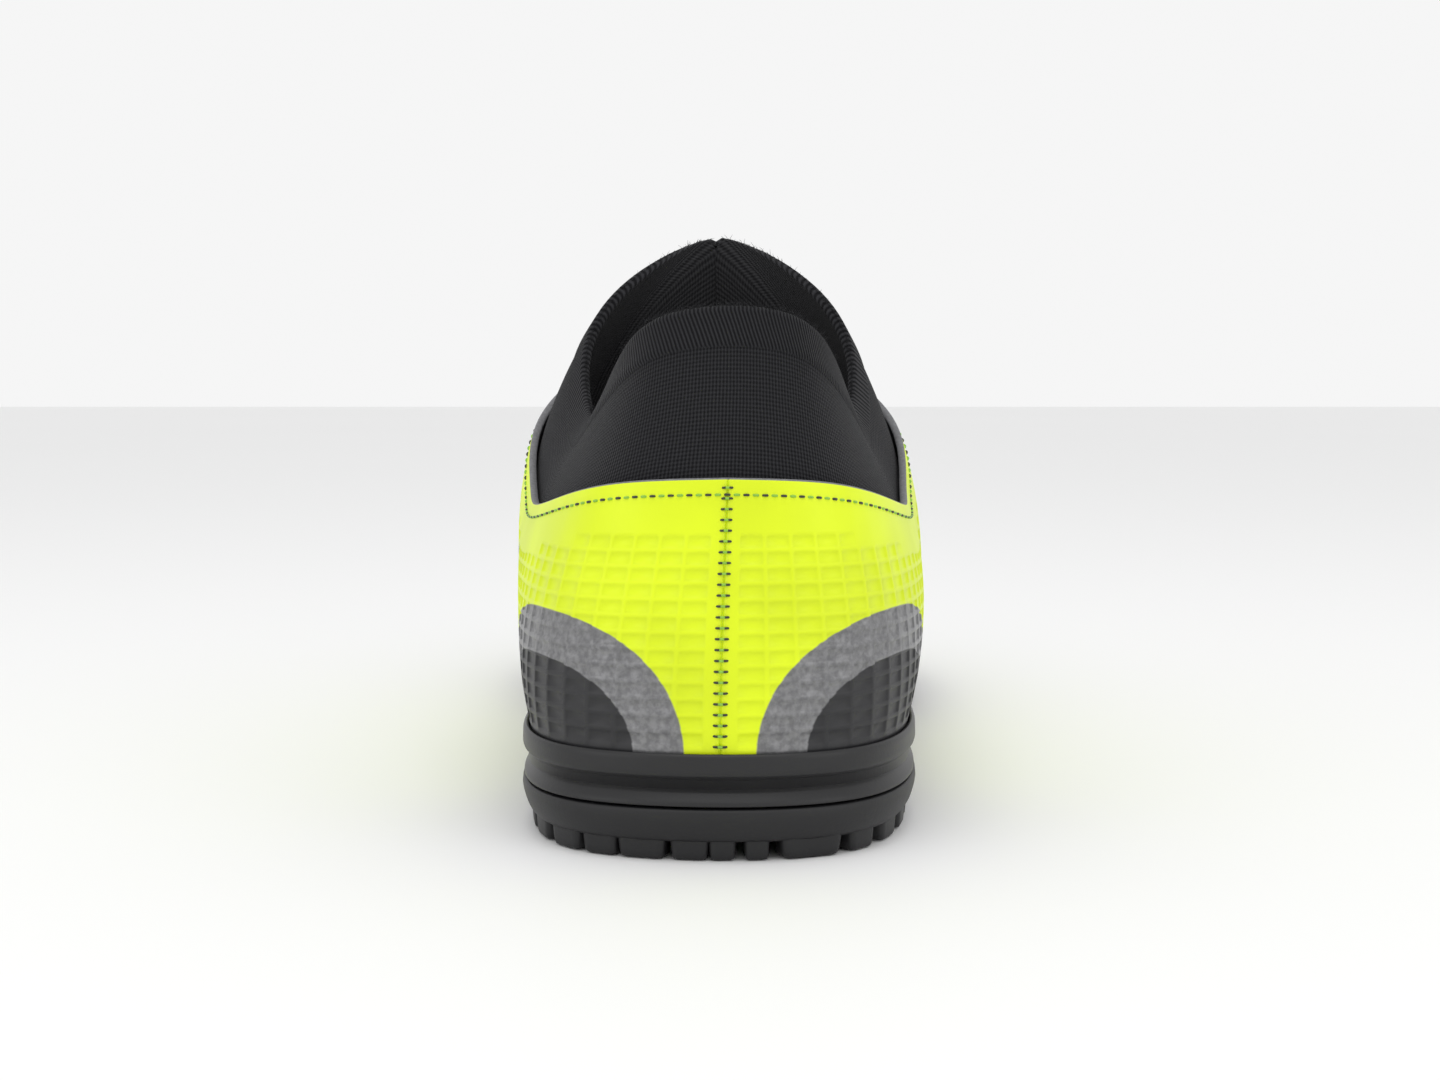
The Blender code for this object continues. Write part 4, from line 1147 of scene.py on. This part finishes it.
def lace_finish():
    made = Finish("lace_black", roughness=0.85, Sheen_Weight=0.3)
    run, side, level = made.attribute("lace_place")
    left = ((run + side * 0.9) / (0.8 * MM) * math.tau).math("SINE")
    right = ((run - side * 0.9) / (0.8 * MM) * math.tau).math("SINE")
    weave = left * right * 0.5 + 0.5
    made.feed("Base Color", weave.mix((0.006, 0.006, 0.007), (0.028, 0.028, 0.030)))
    made.relief(weave, 0.2 * MM)
    return made.material


lace.data.materials.append(lace_finish())
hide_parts("laces")
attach(lace, "root")

# The floor. A plain pale sweep, so that the shoe's own colours read true.
floor_mesh = bpy.data.meshes.new("floor")
floor_mesh.from_pydata([(-3, -3, 0), (3, -3, 0), (3, 5, 0), (-3, 5, 0)], [], [(0, 1, 2, 3)])
floor = bpy.data.objects.new("floor", floor_mesh)
floor.location.z = -0.0002
bpy.context.scene.collection.objects.link(floor)
floor_finish = Finish("floor_pale", roughness=0.7)
floor_cloud = floor_finish.noise(0.8, 2.0)
floor_finish.feed("Base Color", floor_cloud.mix((0.86, 0.86, 0.86), (0.88, 0.88, 0.88)))
floor_mesh.materials.append(floor_finish.material)

# The light. A broad soft box overhead and two weaker ones at the sides, in a pale even room.
world = bpy.data.worlds.new("studio")
bpy.context.scene.world = world
world.use_nodes = True
world.node_tree.nodes["Background"].inputs["Color"].default_value = (1.0, 1.0, 1.0, 1)
world.node_tree.nodes["Background"].inputs["Strength"].default_value = 0.92
for name, spot, aim, size, power in (
    ("box_over", (0.0, -0.25, 0.9), (0.0, 0.0, 0.05), 0.7, 2.0),
    ("box_left", (-0.7, -0.5, 0.35), (0.0, 0.0, 0.05), 0.5, 0.7),
    ("box_right", (0.7, -0.5, 0.35), (0.0, 0.0, 0.05), 0.5, 0.7),
):
    light = bpy.data.lights.new(name, "AREA")
    light.size = size
    light.energy = power
    lamp = bpy.data.objects.new(name, light)
    lamp.location = spot
    lamp.rotation_mode = "QUATERNION"
    lamp.rotation_quaternion = (Vector(aim) - Vector(spot)).to_track_quat("-Z", "Y")
    bpy.context.scene.collection.objects.link(lamp)
bpy.context.scene.view_settings.view_transform = "Standard"

# The camera stands level behind the heel, with its lens shifted down, as in the photo.
lens = bpy.data.cameras.new("camera")
lens.lens = 50
lens.sensor_width = 36
lens.shift_y = -165 / 1440
lens.dof.use_dof = False
camera = bpy.data.objects.new("camera", lens)
camera.location = (0, -0.380, 0.0855)
camera.rotation_euler = (math.radians(90), 0, 0)
bpy.context.scene.collection.objects.link(camera)
bpy.context.scene.camera = camera
